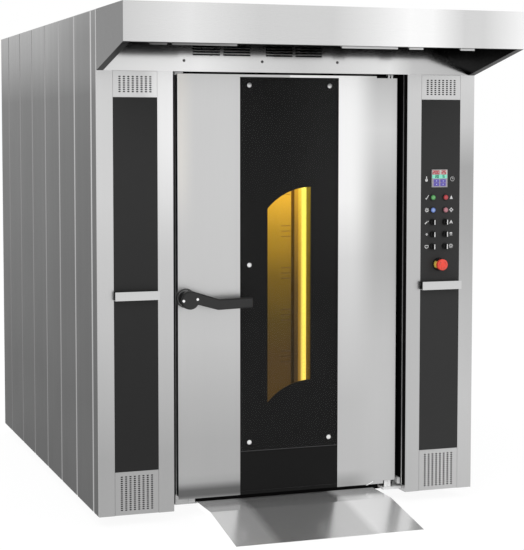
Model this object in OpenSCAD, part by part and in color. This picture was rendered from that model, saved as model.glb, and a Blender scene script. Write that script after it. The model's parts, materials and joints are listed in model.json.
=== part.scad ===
// Rotating rack oven. A trolley of trays rolls up the ramp, stands on the floor
// turntable and turns with the hook above it, while the fan behind the diffuser
// wall drives hot air across the chamber. A pivoted door with a glazed centre
// closes the front, and the hood gathers the steam that leaves with the trolley.
//
// Origin: on the floor, at the middle of the footprint. +Z up, +Y to the back.
// Inside, pieces are drawn from the column faces (y = 0) and from the cabinet's
// underside (z = 0).

/* [Cabinet] */
// Width over the side cladding
body_w = 1840; // [1800:10:1960]
// Height above the cabinet's own underside
body_h = 2250; // [2230:10:2400]
// Depth from the column faces to the rear cladding
body_d = 2400; // [2360:10:2600]
// Clearance between the floor and the cabinet's underside
foot_h = 52; // [46:1:70]
// Stainless sheet of the casing
sheet = 2; // [1.5:0.5:3]
// Play between two pieces that seat on each other
play = 0.3; // [0.2:0.1:0.5]

/* [Cladding] */
// Width of the plain strip at the front of each flank
first_pan_w = 106; // [80:1:160]
// Pitch of the cladding pans
pan_pitch = 340; // [300:5:380]
// Bevel folded along the long edges of a pan
pan_bevel = 11; // [6:1:15]
// Depth of a pan's return flanges
pan_depth = 20; // [18:1:24]
// Open joint between two pans
pan_gap = 1; // [0.6:0.2:1.6]

/* [Frame] */
// Width of the square posts and of the rails
rail_w = 40; // [30:2:50]
// Height of the base rails and of the crossmembers on them
base_rail_h = 20; // [16:1:22]
// Thickness of the rails that carry the cladding
girt_t = 20; // [12:1:24]
// Half spacing of the two inner base rails
inner_rail_x = 560; // [500:10:580]

/* [Front] */
// Width of a front column, from the flank to the door opening
column_w = 348; // [340:1:352]
// Height of the door opening
opening_h = 1984; // [1982:1:2000]
// Width of the sunk strip in each column
insert_w = 203; // [190:1:215]
// Steel left between that strip and the flank
insert_edge = 73; // [60:1:80]
// Depth of that strip
insert_d = 30; // [24:1:36]
// Height of the upper vent grille
upper_vent_h = 116; // [100:1:140]
// Height of the lower vent grille
lower_vent_h = 197; // [180:1:220]
// Height of the grip strap above the underside
strap_z = 969; // [900:1:1000]
// Face height of the grip strap
strap_h = 39; // [30:1:50]
// Reach of the grip strap
strap_out = 30; // [24:1:40]
// Length of a vent slot
slot_w = 8; // [6:0.5:10]
// Height of a vent slot
slot_h = 5; // [3:0.5:6]

/* [Hood] */
// Reach of the hood beyond the columns
hood_reach = 480; // [400:10:550]
// Height of the fascia
fascia_h = 166; // [140:2:200]
// Width of the hood's return flanges
hood_flange = 31; // [20:1:40]

/* [Door] */
// Gap between the door leaf and the reveal on each side
door_gap = 33.5; // [31:0.5:36]
// Height of the door leaf
door_h = 1922; // [1918:1:1925]
// Height of the leaf's lower edge above the cabinet's underside
door_z = 54; // [52:1:56]
// Thickness of the door leaf
door_t = 55; // [50:1:60]
// Depth of the leaf behind the column faces
door_recess = 45; // [40:1:55]
// Space for the pressed seal between leaf and jamb
seal_t = 15; // [13:1:18]
// Width of the centre glass
glass_w = 484; // [460:2:500]
// Thickness of the centre glass
glass_t = 6; // [4:1:8]
// Steel left above the centre glass
glass_top = 11; // [8:1:20]
// Height of the kick panel
kick_h = 186; // [150:1:220]
// Width of the clear window
window_w = 213; // [180:1:230]
// Height of the window's left edge
window_h = 901; // [850:1:950]
// Height of the window's lower left corner
window_z = 462; // [440:1:500]
// Rise of the window's arched ends
window_rise = 98; // [60:1:120]
// Distance from the leaf's edge to the pivot axis
pivot_inset = 26.5; // [24:0.5:30]
// Radius of the pivot pins
pivot_r = 12; // [8:0.5:14]
// Width of the gasket's limbs
seal_w = 30; // [20:1:34]

/* [Handle] */
// Height of the lever's axis
handle_z = 962; // [900:1:1000]
// Distance from the leaf's edge to the lever's axis
handle_inset = 34.5; // [32:0.5:36]
// Radius of the lever's hub
hub_r = 42; // [34:1:44]
// Length of the lever from its axis to its tip
lever_l = 296; // [240:2:340]
// Radius of the spindle
spindle_r = 10; // [7:0.5:11]
// Reach of the latch cam's nose
cam_reach = 50; // [46:1:52]

/* [Chamber] */
// Width of the chamber
chamber_w = 1180; // [1140:5:1200]
// Depth behind the chamber, for the burner's neck and the pipes
rear_space = 202; // [180:1:240]
// Height of the chamber above its floor
chamber_h = 1925; // [1915:1:1930]
// Height of the chamber floor above the cabinet's underside
floor_h = 15; // [14:0.5:18]
// Overlap of the door leaf on the jamb at each side of the mouth
door_lap = 96.5; // [94:0.5:99]
// Height of the chamber mouth above the floor
mouth_h = 1910; // [1890:1:1912]
// Depth of the jamb between the seal and the chamber
jamb_d = 50; // [40:1:60]
// Depth of the air space behind the diffuser wall
plenum_d = 638; // [600:2:660]
// Thickness of the mineral wool
wool = 60; // [40:2:64]
// Radius of the turntable
table_r = 430; // [400:5:440]
// Distance between the trolley guides
guide_w = 480; // [400:5:560]
// Radius of the turntable's shaft
table_shaft_r = 30; // [20:1:34]
// Radius of the hook's shaft
hook_shaft_r = 20; // [14:1:24]

/* [Air] */
// Radius of the fan impeller
fan_r = 240; // [180:5:260]
// Height of the impeller's blades
blade_h = 94; // [60:2:110]
// Number of impeller blades
blade_n = 10; // [8:1:12]
// Radius of the fan shaft
fan_shaft_r = 14; // [10:1:18]
// Radius of a heat exchanger tube
tube_r = 38; // [25:1:40]
// Pitch of the slot groups in the diffuser wall
slot_pitch = 238; // [225:1:245]
// Outer radius of the flue outlet
flue_r = 75; // [60:1:80]
// Outer radius of the steam outlet
steam_r = 60; // [40:1:70]
// Height of the outlets above the roof
outlet_h = 60; // [40:5:100]

/* [Threshold] */
// Clearance between the threshold and the sides of the mouth
ramp_gap = 2; // [1:0.5:6]
// Distance from the column faces to the fold where the ramp starts
fold_y = 129; // [110:1:150]
// Distance from the column faces to the ramp's front edge
ramp_reach = 493; // [481:1:560]
// Thickness of the tread plate
plate = 3; // [2:0.5:4]

/* [Controls] */
// Distance from the strip's middle to the controls' middle, towards the door
controls_dx = 6; // [0:1:10]
// Spacing of the two columns of switches
switch_dx = 66; // [60:1:72]
// Radius of a switch bezel
bezel_r = 16; // [15:0.5:18]
// Height of the upper row of push buttons
button_z = 1406; // [1396:1:1410]
// Pitch of the push button rows
button_dz = 60; // [50:1:62]
// Height of the upper row of selectors
selector_z = 1289; // [1282:1:1294]
// Pitch of the selector rows
selector_dz = 58; // [50:1:60]
// Height of the emergency stop
estop_z = 1088; // [1070:1:1100]
// Radius of the emergency stop's head
estop_r = 26; // [22:0.5:32]
// Width of the display
display_w = 82; // [76:1:100]
// Height of the display
display_h = 84; // [76:1:92]
// Height of the display's lower edge
display_z = 1454; // [1446:1:1470]

/* [Hidden] */
$fn = 64;

fit = 0.05;                    // running clearance on a radius
slip = 1;                      // free gap round a panel in its recess
side_x = body_w / 2;           // outer face of the flank
opening_w = body_w - 2 * column_w;
door_w = opening_w - 2 * door_gap;
mouth_w = door_w - 2 * door_lap;
ramp_w = mouth_w - 2 * ramp_gap;
roof_z = body_h - sheet;       // underside of the roof sheet

// Front
ins_in = side_x - insert_edge - insert_w;   // inner edge of the sunk strip
ins_out = side_x - insert_edge;             // outer edge of the sunk strip
ins_mid = (ins_in + ins_out) / 2;
reveal_x = opening_w / 2;
fascia_z = body_h - fascia_h;
upper_vent_z = opening_h - upper_vent_h;
split_z = strap_z + strap_h / 2;            // joint between the black panels

// Depths
door_back = door_recess + door_t;
jamb_y = door_back + seal_t;
chamber_y = jamb_y + jamb_d;
chamber_d = body_d - rear_space - plenum_d - chamber_y;
diffuser_y = chamber_y + chamber_d;
plenum_y = diffuser_y + plenum_d;
table_y = chamber_y + chamber_d / 2;
fan_y = diffuser_y + plenum_d / 2;
rear_in = body_d - pan_depth;

// Heights
door_top = door_z + door_h;
glass_z = door_z + kick_h + sheet;
mouth_z = floor_h + mouth_h;
ceiling_z = floor_h + chamber_h;
wool_z = ceiling_z + sheet + wool;
beam_z = roof_z - rail_w;
motor_z = wool_z + 20;                      // underside of the hook's gearmotor
ground = -foot_h;

// Widths
wall_x = chamber_w / 2;
mouth_x = mouth_w / 2;
door_x = door_w / 2;
pivot_x = door_x - pivot_inset;
pivot_y = door_recess + door_t / 2;
swing_r = norm([pivot_inset, door_t / 2]);  // sweep of the leaf's corner about the pivot
handle_x = -door_x + handle_inset;
lever_y = -strap_out - 12;                  // front of the lever
girt_x = side_x - pan_depth - girt_t;       // inner face of the cladding rails
post_x = girt_x - rail_w / 2;

// Door layers, front to back
mask_y = door_recess + glass_t;
core_y = mask_y + 4;
liner_y = door_back - sheet;
glazing_t = 5;                              // inner glass
tunnel_w = window_w + 87;                   // window tunnel through the core
tunnel_z = window_z - 32;
tunnel_h = window_h + window_rise + 60;
pivot_block = [50, door_t - 10, 60];

// Stations of the frame along y
stations = [chamber_y + 55, table_y, fan_y, rear_in - rail_w / 2];

// Turntable and its bearing
bearing_r = table_shaft_r + 15;
well_z = floor_h - 9;                       // floor of the well that takes the turntable
table_t = 4;
bearing_floor = -2 * base_rail_h + 6;

// Burner, flue, steam and water
burner_z = 260;                             // axis of the burner and its drum
burner_r = 85;
burner_bore_r = 62;
burner_flange_r = 110;
burner_bolt_r = 97;
flue_x = -wall_x + 260;
flue_y = fan_y + rail_w / 2 + flue_r + 10;
header_top = ceiling_z - 340;               // top of the heat exchanger's upper header
water_x = -wall_x + 110;
water_z = ceiling_z - 400;
water_r = 10;

front_y = (ramp_reach - body_d) / 2;

// ---------- helpers ----------

// Box between two opposite corners
module block(lo, hi) translate(lo) cube(hi - lo);

// Round bar along z, and along y
module rod_z(x, y, z0, z1, r) translate([x, y, z0]) cylinder(h = z1 - z0, r = r);
module rod_y(x, z, y0, y1, r) translate([x, y0, z]) rotate([-90, 0, 0]) cylinder(h = y1 - y0, r = r);

// The same piece on both sides
module both() {
  children();
  mirror([1, 0, 0]) children();
}

// Flat plate in the xz plane, its drawing taken as x and z
module plate_xz(y, t) translate([0, y + t, 0]) rotate([90, 0, 0]) linear_extrude(t) children();

// Profile drawn in y and z, run along x
module run_x(x0, x1) translate([x0, 0, 0]) rotate([90, 0, 90]) linear_extrude(x1 - x0) children();

// Shallow tray with its face to the front
module tray(x0, x1, y, z0, z1, depth, t) {
  difference() {
    block([x0, y, z0], [x1, y + depth, z1]);
    block([x0 + t, y + t, z0 + t], [x1 - t, y + depth + 1, z1 - t]);
  }
}

// Square-cornered folded sheet through a list of points on its middle line
module folded(path, t) {
  for (i = [0:len(path) - 2]) {
    a = path[i];
    b = path[i + 1];
    translate([min(a.x, b.x) - t / 2, min(a.y, b.y) - t / 2])
      square([abs(a.x - b.x) + t, abs(a.y - b.y) + t]);
  }
}

// ---------- frame ----------

module levelling_feet() {
  color("dimgray")
    for (x = [post_x - 22, inner_rail_x], y = [stations[0] + 160, stations[1] + 80, stations[3] - 60])
      both() {
        rod_z(x, y, ground, ground + 6, 26);
        rod_z(x, y, ground + 6, -2 * base_rail_h, 9);
      }
}

module base_rails() {
  color("silver")
    both() {
      block([post_x - rail_w / 2, chamber_y + 5, -2 * base_rail_h],
            [post_x + rail_w / 2, rear_in, -base_rail_h]);
      block([inner_rail_x - rail_w / 2, 2 * chamber_y, -2 * base_rail_h],
            [inner_rail_x + rail_w / 2, rear_in, -base_rail_h]);
    }
}

module base_crossmembers() {
  color("silver") {
    half = post_x + rail_w / 2;
    for (i = [0, 2, 3])
      block([-half, stations[i] - rail_w / 2, -base_rail_h], [half, stations[i] + rail_w / 2, 0]);
    difference() {
      block([-half, table_y - 2 * rail_w, -base_rail_h], [half, table_y + 2 * rail_w, 0]);
      rod_z(0, table_y, -base_rail_h - 1, 1, bearing_r + play);
    }
    block([-half, diffuser_y - rail_w, -base_rail_h], [half, diffuser_y, 0]);
  }
}

module frame_posts() {
  color("silver")
    for (y = stations)
      both() block([post_x - rail_w / 2, y - rail_w / 2, 0], [post_x + rail_w / 2, y + rail_w / 2, beam_z]);
}

module body_rails() {
  color("silver") {
    for (y = stations)
      block([-post_x - rail_w / 2, y - rail_w / 2, beam_z], [post_x + rail_w / 2, y + rail_w / 2, roof_z]);
    for (z = [rail_w, body_h / 2, beam_z - 2 * rail_w]) {
      both() block([girt_x, first_pan_w + 2 * sheet, z], [side_x - pan_depth, rear_in, z + rail_w]);
      block([-post_x + rail_w / 2, rear_in - girt_t, z], [post_x - rail_w / 2, rear_in, z + rail_w]);
    }
  }
}

// ---------- casing ----------

// Section of one folded cladding pan: width along x, depth along y
function pan_section(w) =
  let (b = pan_bevel, d = pan_depth, t = sheet, k = sheet * tan(22.5))
  [[0, d], [0, b], [b, 0], [w - b, 0], [w, b], [w, d],
   [w - t, d], [w - t, b + k], [w - b - k, t], [b + k, t], [t, b + k], [t, d]];

module pan(w) linear_extrude(roof_z) polygon(pan_section(w));

// Seams of a wall that is split at a pitch, from its start to its end
function seams(from, first, to) =
  concat([from], [for (s = first; s < to - pan_pitch / 2; s = s + pan_pitch) s], [to]);

module side_cladding() {
  edges = seams(sheet, first_pan_w, body_d);
  color("darkgray")
    both()
      for (i = [0:len(edges) - 2])
        translate([side_x, edges[i] + pan_gap / 2, 0]) rotate([0, 0, 90])
          pan(edges[i + 1] - edges[i] - pan_gap);
}

module rear_cladding() {
  half = side_x - pan_depth - pan_gap;
  n = round(2 * half / pan_pitch);
  w = 2 * half / n;
  color("darkgray")
    difference() {
      for (i = [0:n - 1])
        translate([half - i * w - pan_gap / 2, body_d, 0]) rotate([0, 0, 180]) pan(w - pan_gap);
      rod_y(0, burner_z, rear_in - 1, body_d + 1, burner_flange_r + 2);
      rod_y(water_x, water_z, rear_in - 1, body_d + 1, 16);
    }
}

module roof_panel() {
  color("darkgray")
    difference() {
      block([-side_x, 0, roof_z], [side_x, body_d, body_h]);
      rod_z(flue_x, flue_y, roof_z - 1, body_h + 1, flue_r + 1);
      rod_z(-flue_x, flue_y, roof_z - 1, body_h + 1, steam_r + 1);
    }
}

// Side cheek of the hood: profile in y and z
module cheek_outline() {
  polygon([[0, opening_h], [0, roof_z], [-hood_reach + sheet, roof_z], [-hood_reach + sheet, fascia_z]]);
}

module hood_shell() {
  slope = atan((fascia_z - opening_h) / hood_reach);
  color("gainsboro") {
    block([-side_x, -hood_reach, fascia_z], [side_x, -hood_reach + sheet, body_h]);
    block([-side_x, -hood_reach, roof_z], [side_x, 0, body_h]);
    block([-side_x, -hood_reach, fascia_z], [side_x, -hood_reach + hood_flange, fascia_z + sheet]);
    both() {
      run_x(side_x - sheet, side_x) cheek_outline();
      run_x(side_x - hood_flange, side_x)
        difference() {
          cheek_outline();
          translate([0, sheet / cos(slope)]) cheek_outline();
        }
    }
  }
}

module header_panel() {
  groups = [-416, -272, -69, 74];          // centres of the louvre groups
  group_w = 128;
  slot_z = opening_h + 72;                 // lowest slot
  slot_dz = 12;
  slot_t = 7;
  color("gainsboro") {
    plate_xz(0, sheet) difference() {
      translate([-side_x, opening_h]) square([2 * side_x, roof_z - opening_h]);
      for (x = groups, i = [0:3])
        translate([x - group_w / 2, slot_z + i * slot_dz]) square([group_w, slot_t]);
    }
    difference() {
      block([-reveal_x, sheet, opening_h], [reveal_x, jamb_y, opening_h + sheet]);
      rod_z(pivot_x, pivot_y, opening_h - 1, opening_h + sheet + 1, pivot_r + 7);
    }
    // louvre fins behind the slots
    for (x = groups, i = [0:3])
      translate([0, 0, slot_z + slot_t + i * slot_dz]) run_x(x - group_w / 2 - 2, x + group_w / 2 + 2)
        polygon([[1, 1.6], [1, 0.3], [9, -5], [9, -3.7]]);
  }
}

// Bead of the reveal: its front and back edge, its depth and its lower end
bead_y = [31, 37];
bead_t = 6;
bead_z = door_z + 5;

// One column, drawn on the right; vents and switch gear breathe through its web
module column(cutouts) {
  t = sheet;
  difference() {
    union() {
      linear_extrude(opening_h) {
        folded([[reveal_x + t / 2, jamb_y - t / 2], [reveal_x + t / 2, t / 2], [ins_in - t / 2, t / 2],
                [ins_in - t / 2, insert_d + t / 2], [ins_out + t / 2, insert_d + t / 2],
                [ins_out + t / 2, t / 2], [side_x - t / 2, t / 2]], t);
        folded([[side_x - pan_depth - t / 2, t / 2], [side_x - pan_depth - t / 2, first_pan_w]], t);
      }
      // bead that stiffens the reveal
      block([reveal_x - bead_t, bead_y[0], bead_z], [reveal_x + t / 2, bead_y[1], opening_h]);
    }
    for (c = cutouts)
      block([ins_in + 20, insert_d - 1, c[0]], [ins_out - 20, insert_d + t + 1, c[1]]);
  }
}

module left_column() {
  color("gainsboro")
    mirror([1, 0, 0]) column([[20, lower_vent_h - 20], [upper_vent_z + 20, opening_h - 20]]);
}

module right_column() {
  color("gainsboro")
    column([[20, lower_vent_h - 20], [estop_z - 45, display_z + display_h + 25],
            [upper_vent_z + 20, opening_h - 20]]);
}

// Slotted tray: columns of short slots that share the insert's width
module vent_grille(z, h) {
  x0 = ins_in + slip;
  x1 = ins_out - slip;
  cols = 8;
  dx = 20;
  dz = 9.4;
  rows = floor((h - 36) / dz);
  plate_xz(0, sheet) difference() {
    translate([x0, z]) square([x1 - x0, h]);
    for (c = [0:cols - 1], r = [0:rows - 1])
      translate([ins_mid + (c - (cols - 1) / 2) * dx - slot_w / 2,
                 z + h / 2 + (r - (rows - 1) / 2) * dz - slot_h / 2])
        square([slot_w, slot_h]);
  }
  difference() {
    block([x0, sheet, z], [x1, insert_d, z + h]);
    block([x0 + sheet, 0, z + sheet], [x1 - sheet, insert_d + 1, z + h - sheet]);
  }
}

module vent_grilles() {
  color("gainsboro")
    both() {
      vent_grille(slip, lower_vent_h - slip);
      vent_grille(upper_vent_z, upper_vent_h - slip);
    }
}

module black_tray(z0, z1) tray(ins_in + slip, ins_out - slip, 0, z0, z1, insert_d, sheet);

module dark_panels() {
  color([0.17, 0.17, 0.17]) {
    mirror([1, 0, 0]) black_tray(split_z + slip / 2, upper_vent_z - slip);
    both() black_tray(lower_vent_h + slip, split_z - slip / 2);
  }
}

module grip_straps() {
  color("gainsboro")
    both() {
      block([ins_in, -strap_out, strap_z], [ins_out, -strap_out + sheet, strap_z + strap_h]);
      block([ins_in, -strap_out, strap_z], [ins_out, 0, strap_z + sheet]);
    }
}

module strap_ends() {
  end_w = 8;
  color([0.05, 0.05, 0.05])
    both()
      for (x = [ins_in, ins_out - end_w])
        block([x, -strap_out + sheet, strap_z + sheet], [x + end_w, 0, strap_z + strap_h - 2]);
}

// ---------- control panel ----------

controls_x = ins_mid - controls_dx;
switch_xs = [controls_x - switch_dx / 2, controls_x + switch_dx / 2];
buttons_at = [for (z = [button_z, button_z - button_dz], x = switch_xs) [x, z]];
selectors_at = [for (i = [0:2], x = switch_xs) [x, selector_z - i * selector_dz]];
estop_at = [controls_x, estop_z];
barrel_r = bezel_r - 2;
cap_r = bezel_r - 4.5;
stem_r = 6;

module control_panel() {
  color([0.17, 0.17, 0.17])
    difference() {
      black_tray(split_z + slip / 2, upper_vent_z - slip);
      for (p = concat(buttons_at, selectors_at, [estop_at]))
        rod_y(p.x, p.y, -1, sheet + 1, barrel_r + fit);
      block([controls_x - display_w / 2 + 5, -1, display_z + 5],
            [controls_x + display_w / 2 - 5, sheet + 1, display_z + display_h - 5]);
    }
}

module display_unit() {
  x0 = controls_x - display_w / 2;
  x1 = controls_x + display_w / 2;
  z1 = display_z + display_h;
  color([0.75, 0.78, 0.8])
    difference() {
      union() {
        block([x0, -5, display_z], [x1, 0, z1]);
        block([x0 + 5 + play, 0, display_z + 5 + play], [x1 - 5 - play, insert_d + 8, z1 - 5 - play]);
      }
      block([x0 + 5, -6, display_z + 5], [x1 - 5, -3.5, z1 - 5]);
    }
}

// Bezel, barrel with a guide bore, and contact block of one switch
module switch_body(p, r, out) {
  difference() {
    union() {
      rod_y(p.x, p.y, -out, 0, r);
      rod_y(p.x, p.y, 0, 26, barrel_r);
      block([p.x - 13, 26, p.y - 13], [p.x + 13, 46, p.y + 13]);
    }
    rod_y(p.x, p.y, -out - 1, 8, cap_r + 0.5);
    rod_y(p.x, p.y, 0, 24, stem_r + fit);
  }
}

module switch_bezels() {
  color("silver") {
    for (p = concat(buttons_at, selectors_at)) switch_body(p, bezel_r, 4);
    switch_body(estop_at, bezel_r + 8, 16);
  }
}

module push_button(p) {
  rod_y(p.x, p.y, -8, 2, cap_r);
  rod_y(p.x, p.y, 2, 18, stem_r);
}

module green_button() color("seagreen") push_button(buttons_at[0]);
module red_button() color("crimson") push_button(buttons_at[1]);
module blue_button() color("cornflowerblue") push_button(buttons_at[2]);
module pink_button() color("lightpink") push_button(buttons_at[3]);

module selector(p) {
  color([0.08, 0.08, 0.08]) {
    rod_y(p.x, p.y, -13, -4 - play, bezel_r - 2.5);
    rod_y(p.x, p.y, -4 - play, 22, stem_r);
    difference() {
      rod_y(p.x, p.y, -26, -13, bezel_r - 3);
      for (s = [-1, 1])
        block([p.x + (s < 0 ? -20 : 4), -27, p.y - 20], [p.x + (s < 0 ? -4 : 20), -13, p.y + 20]);
    }
  }
}

module selector_1() selector(selectors_at[0]);
module selector_2() selector(selectors_at[1]);
module selector_3() selector(selectors_at[2]);
module selector_4() selector(selectors_at[3]);
module selector_5() selector(selectors_at[4]);
module selector_6() selector(selectors_at[5]);

module estop_button() {
  dome = 2 * estop_r;
  color("tomato") {
    difference() {
      rod_y(estop_at.x, estop_at.y, -52, -30, estop_r);
      difference() {
        rod_y(estop_at.x, estop_at.y, -53, -30, estop_r + 1);
        translate([estop_at.x, dome - 52, estop_at.y]) sphere(dome);
      }
    }
    rod_y(estop_at.x, estop_at.y, -30, 0, cap_r);
    rod_y(estop_at.x, estop_at.y, 0, 18, stem_r);
  }
}

// ---------- door surround ----------

// Folded jamb: seal face, tunnel to the chamber and the flange that joins the walls
module door_jamb() {
  color("gray")
    difference() {
      union() {
        block([-reveal_x - sheet, jamb_y, 0], [reveal_x + sheet, jamb_y + sheet, opening_h + sheet]);
        block([-mouth_x - sheet, jamb_y, 0], [mouth_x + sheet, chamber_y, mouth_z + sheet]);
        block([-wall_x, chamber_y - sheet, 0], [wall_x, chamber_y, ceiling_z]);
      }
      block([-mouth_x, jamb_y - 1, -1], [mouth_x, chamber_y + 1, mouth_z]);
    }
}

module reveal_strips() {
  color([0.04, 0.04, 0.04])
    both() {
      block([reveal_x - bead_t, 2 * sheet, bead_z - 26], [reveal_x, bead_y[0], opening_h]);
      block([reveal_x - bead_t, bead_y[1], bead_z], [reveal_x, jamb_y, opening_h]);
    }
}

module door_fittings() {
  foot_z = [8, 20];                         // lower bracket's plate
  step_z = [33, door_z + 8];                // block beside the leaf's lower corner
  step_x = pivot_x + swing_r + 2;
  keeper_in = handle_x - cam_reach;
  color("lightgray") {
    // lower pivot bracket
    difference() {
      union() {
        block([pivot_x - 32, door_recess + 1, foot_z[0]], [reveal_x, jamb_y, foot_z[1]]);
        block([step_x, door_recess + 1, step_z[0]], [reveal_x - bead_t, jamb_y, step_z[1]]);
        block([step_x, jamb_y - 12, foot_z[1]], [reveal_x - bead_t, jamb_y, step_z[0]]);
      }
      rod_z(pivot_x, pivot_y, 0, foot_z[1] + 1, pivot_r + fit);
    }
    // upper pivot bracket, hidden in the header
    difference() {
      block([pivot_x - 32, door_recess + 1, opening_h + sheet], [reveal_x, jamb_y, opening_h + sheet + 12]);
      rod_z(pivot_x, pivot_y, opening_h, opening_h + sheet + 13, pivot_r + fit);
    }
    // keeper: a lip the cam's nose turns in behind
    block([-reveal_x + bead_t, door_back - 10, handle_z - 28], [keeper_in - 3, jamb_y, handle_z + 28]);
    block([-reveal_x + bead_t, door_back - 12, handle_z - 28], [-door_x - 6, door_back - 2, handle_z + 28]);
  }
}

// ---------- door ----------

module door_skin() {
  t = sheet;
  gx = glass_w / 2;
  color("gainsboro")
    difference() {
      block([-door_x, door_recess, door_z], [door_x, liner_y, door_top]);
      // hollow behind the face, and the bay of the centre glass
      block([-door_x + t, door_recess + t, door_z + t], [-gx - t, liner_y + 1, door_top - t]);
      block([gx + t, door_recess + t, door_z + t], [door_x - t, liner_y + 1, door_top - t]);
      block([-gx, door_recess - 1, door_z + t], [gx, liner_y + 1, door_top - glass_top]);
      block([-gx - t - 1, core_y, door_z + t], [gx + t + 1, liner_y + 1, door_top - t]);
      rod_z(pivot_x, pivot_y, door_z - 1, door_z + t + 1, pivot_r + play);
      rod_z(pivot_x, pivot_y, door_top - t - 1, door_top + 1, pivot_r + play);
      rod_y(handle_x, handle_z, door_recess - 1, door_recess + t + 1, spindle_r + 1);
    }
}

module door_core() {
  t = sheet;
  gx = glass_w / 2 + t;
  color("khaki")
    difference() {
      union() {
        block([-door_x + t, core_y, door_z + t], [door_x - t, liner_y, door_top - t]);
        both() block([gx, door_recess + t, door_z + t], [door_x - t, liner_y, door_top - t]);
      }
      block([-tunnel_w / 2, core_y - 1, tunnel_z], [tunnel_w / 2, liner_y + 1, tunnel_z + tunnel_h]);
      for (z = [door_z + t, door_top - t - pivot_block.z])
        block([pivot_x - pivot_block.x / 2, door_recess, z], [door_x, liner_y + 1, z + pivot_block.z]);
      rod_y(handle_x, handle_z, door_recess, liner_y + 1, spindle_r + 1);
    }
}

module door_liner() {
  lap = 14;                                 // frame that holds the inner glass
  color("lightgray")
    plate_xz(liner_y, sheet) difference() {
      translate([-door_x, door_z]) square([door_w, door_h]);
      translate([-tunnel_w / 2 + lap, tunnel_z + lap]) square([tunnel_w - 2 * lap, tunnel_h - 2 * lap]);
      translate([handle_x, handle_z]) circle(spindle_r + 1);
    }
}

module door_glass() {
  color([0.12, 0.13, 0.14])
    block([-glass_w / 2 + slip / 2, door_recess, glass_z + slip],
          [glass_w / 2 - slip / 2, mask_y, door_top - glass_top - slip / 2]);
}

// Clear window: straight sides, both ends cut by one rising arc that levels off at the right
module window_outline() {
  arc_r = (window_w * window_w + window_rise * window_rise) / (2 * window_rise);
  foot = window_z + window_rise - arc_r;
  difference() {
    translate([-window_w / 2, 0]) intersection() {
      translate([0, window_z]) square([window_w, window_h + window_rise]);
      union() {
        translate([0, foot]) square([window_w, window_h]);
        translate([window_w, foot + window_h]) circle(arc_r, $fn = 128);
      }
    }
    translate([window_w / 2, foot]) circle(arc_r, $fn = 128);
  }
}

module window_mask() {
  color([0.05, 0.05, 0.05])
    plate_xz(mask_y, core_y - mask_y) difference() {
      translate([-glass_w / 2 + slip / 2, glass_z + slip])
        square([glass_w - slip, door_top - glass_top - glass_z - 1.5 * slip]);
      window_outline();
    }
}

module inner_glass() {
  color([0.7, 0.75, 0.72])
    block([-tunnel_w / 2 + slip, liner_y - glazing_t, tunnel_z + slip],
          [tunnel_w / 2 - slip, liner_y, tunnel_z + tunnel_h - slip]);
}

module kick_panel() {
  color([0.06, 0.06, 0.06])
    tray(-glass_w / 2 + slip / 2, glass_w / 2 - slip / 2, door_recess, door_z + sheet, glass_z - slip,
         core_y - door_recess, sheet);
}

module door_gasket() {
  inner = mouth_x + 10;
  outer = inner + seal_w;
  top = mouth_z + 10;
  color([0.06, 0.06, 0.06]) {
    difference() {
      block([-outer, door_back, door_z + 9], [outer, jamb_y - play, top + seal_w]);
      block([-inner, door_back - 1, door_z + 8], [inner, jamb_y + 1, top]);
    }
    // sweep under the leaf
    block([-mouth_x + 6, liner_y - 18, floor_h + 2 * play], [mouth_x - 6, liner_y - 6, door_z]);
  }
}

module glass_screws() {
  x = glass_w / 2 - 45;
  low = glass_z + 41;
  high = door_top - glass_top - 37;
  middle = (low + high) / 2;
  color("white")
    for (p = [[-x, low], [x, low], [-x, middle], [-x, high], [x, high]])
      translate([p.x, door_recess, p.y]) rotate([90, 0, 0])
        intersection() {
          translate([0, 0, -7]) sphere(13);
          cylinder(h = 7, r = 10.9);
        }
}

module door_pivots() {
  half = pivot_block.x / 2;
  y0 = door_recess + sheet;
  color("silver") {
    block([pivot_x - half, y0, door_z + sheet], [door_x - sheet, liner_y, door_z + sheet + pivot_block.z]);
    block([pivot_x - half, y0, door_top - sheet - pivot_block.z],
          [door_x - sheet, liner_y, door_top - sheet]);
    rod_z(pivot_x, pivot_y, 8 + play, door_z + sheet, pivot_r);
    rod_z(pivot_x, pivot_y, 20 + play, door_z, pivot_r + 6);
    rod_z(pivot_x, pivot_y, door_top - sheet, opening_h + sheet + 12 - play, pivot_r);
    rod_z(pivot_x, pivot_y, door_top, opening_h - 2, pivot_r + 5);
  }
}

// Puck with rounded rims, the lever's building block
module puck(x, z, r, y0, y1) {
  rod_y(x, z, y0 + 5, y1 - 5, r, $fn = 32);
  rod_y(x, z, y0, y1, r - 5, $fn = 32);
}

module lever_handle() {
  y0 = lever_y;
  y1 = y0 + 30;
  arm_r = 23;
  tip_r = 10;
  bend = [handle_x + 0.45 * lever_l, handle_z - 24];
  tip = [handle_x + lever_l - tip_r, handle_z - 20];
  color([0.08, 0.08, 0.08])
    difference() {
      union() {
        puck(handle_x, handle_z, hub_r, y0, y1);
        rod_y(handle_x, handle_z, y1 - 5, door_recess - 8, 30);
        rod_y(handle_x, handle_z, door_recess - 8, door_recess - play, handle_inset - 1);
        hull() {
          puck(handle_x + 14, handle_z + 12, arm_r + 3, y0, y1);
          puck(bend.x, bend.y, arm_r + 1, y0, y1);
        }
        hull() {
          puck(bend.x, bend.y, arm_r + 1, y0, y1);
          for (s = [-1, 1]) puck(tip.x, tip.y + s * (arm_r - tip_r), tip_r, y0, y1);
        }
      }
      rod_y(handle_x, handle_z, y1 - 4, door_recess + 1, spindle_r + fit);
    }
}

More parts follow.
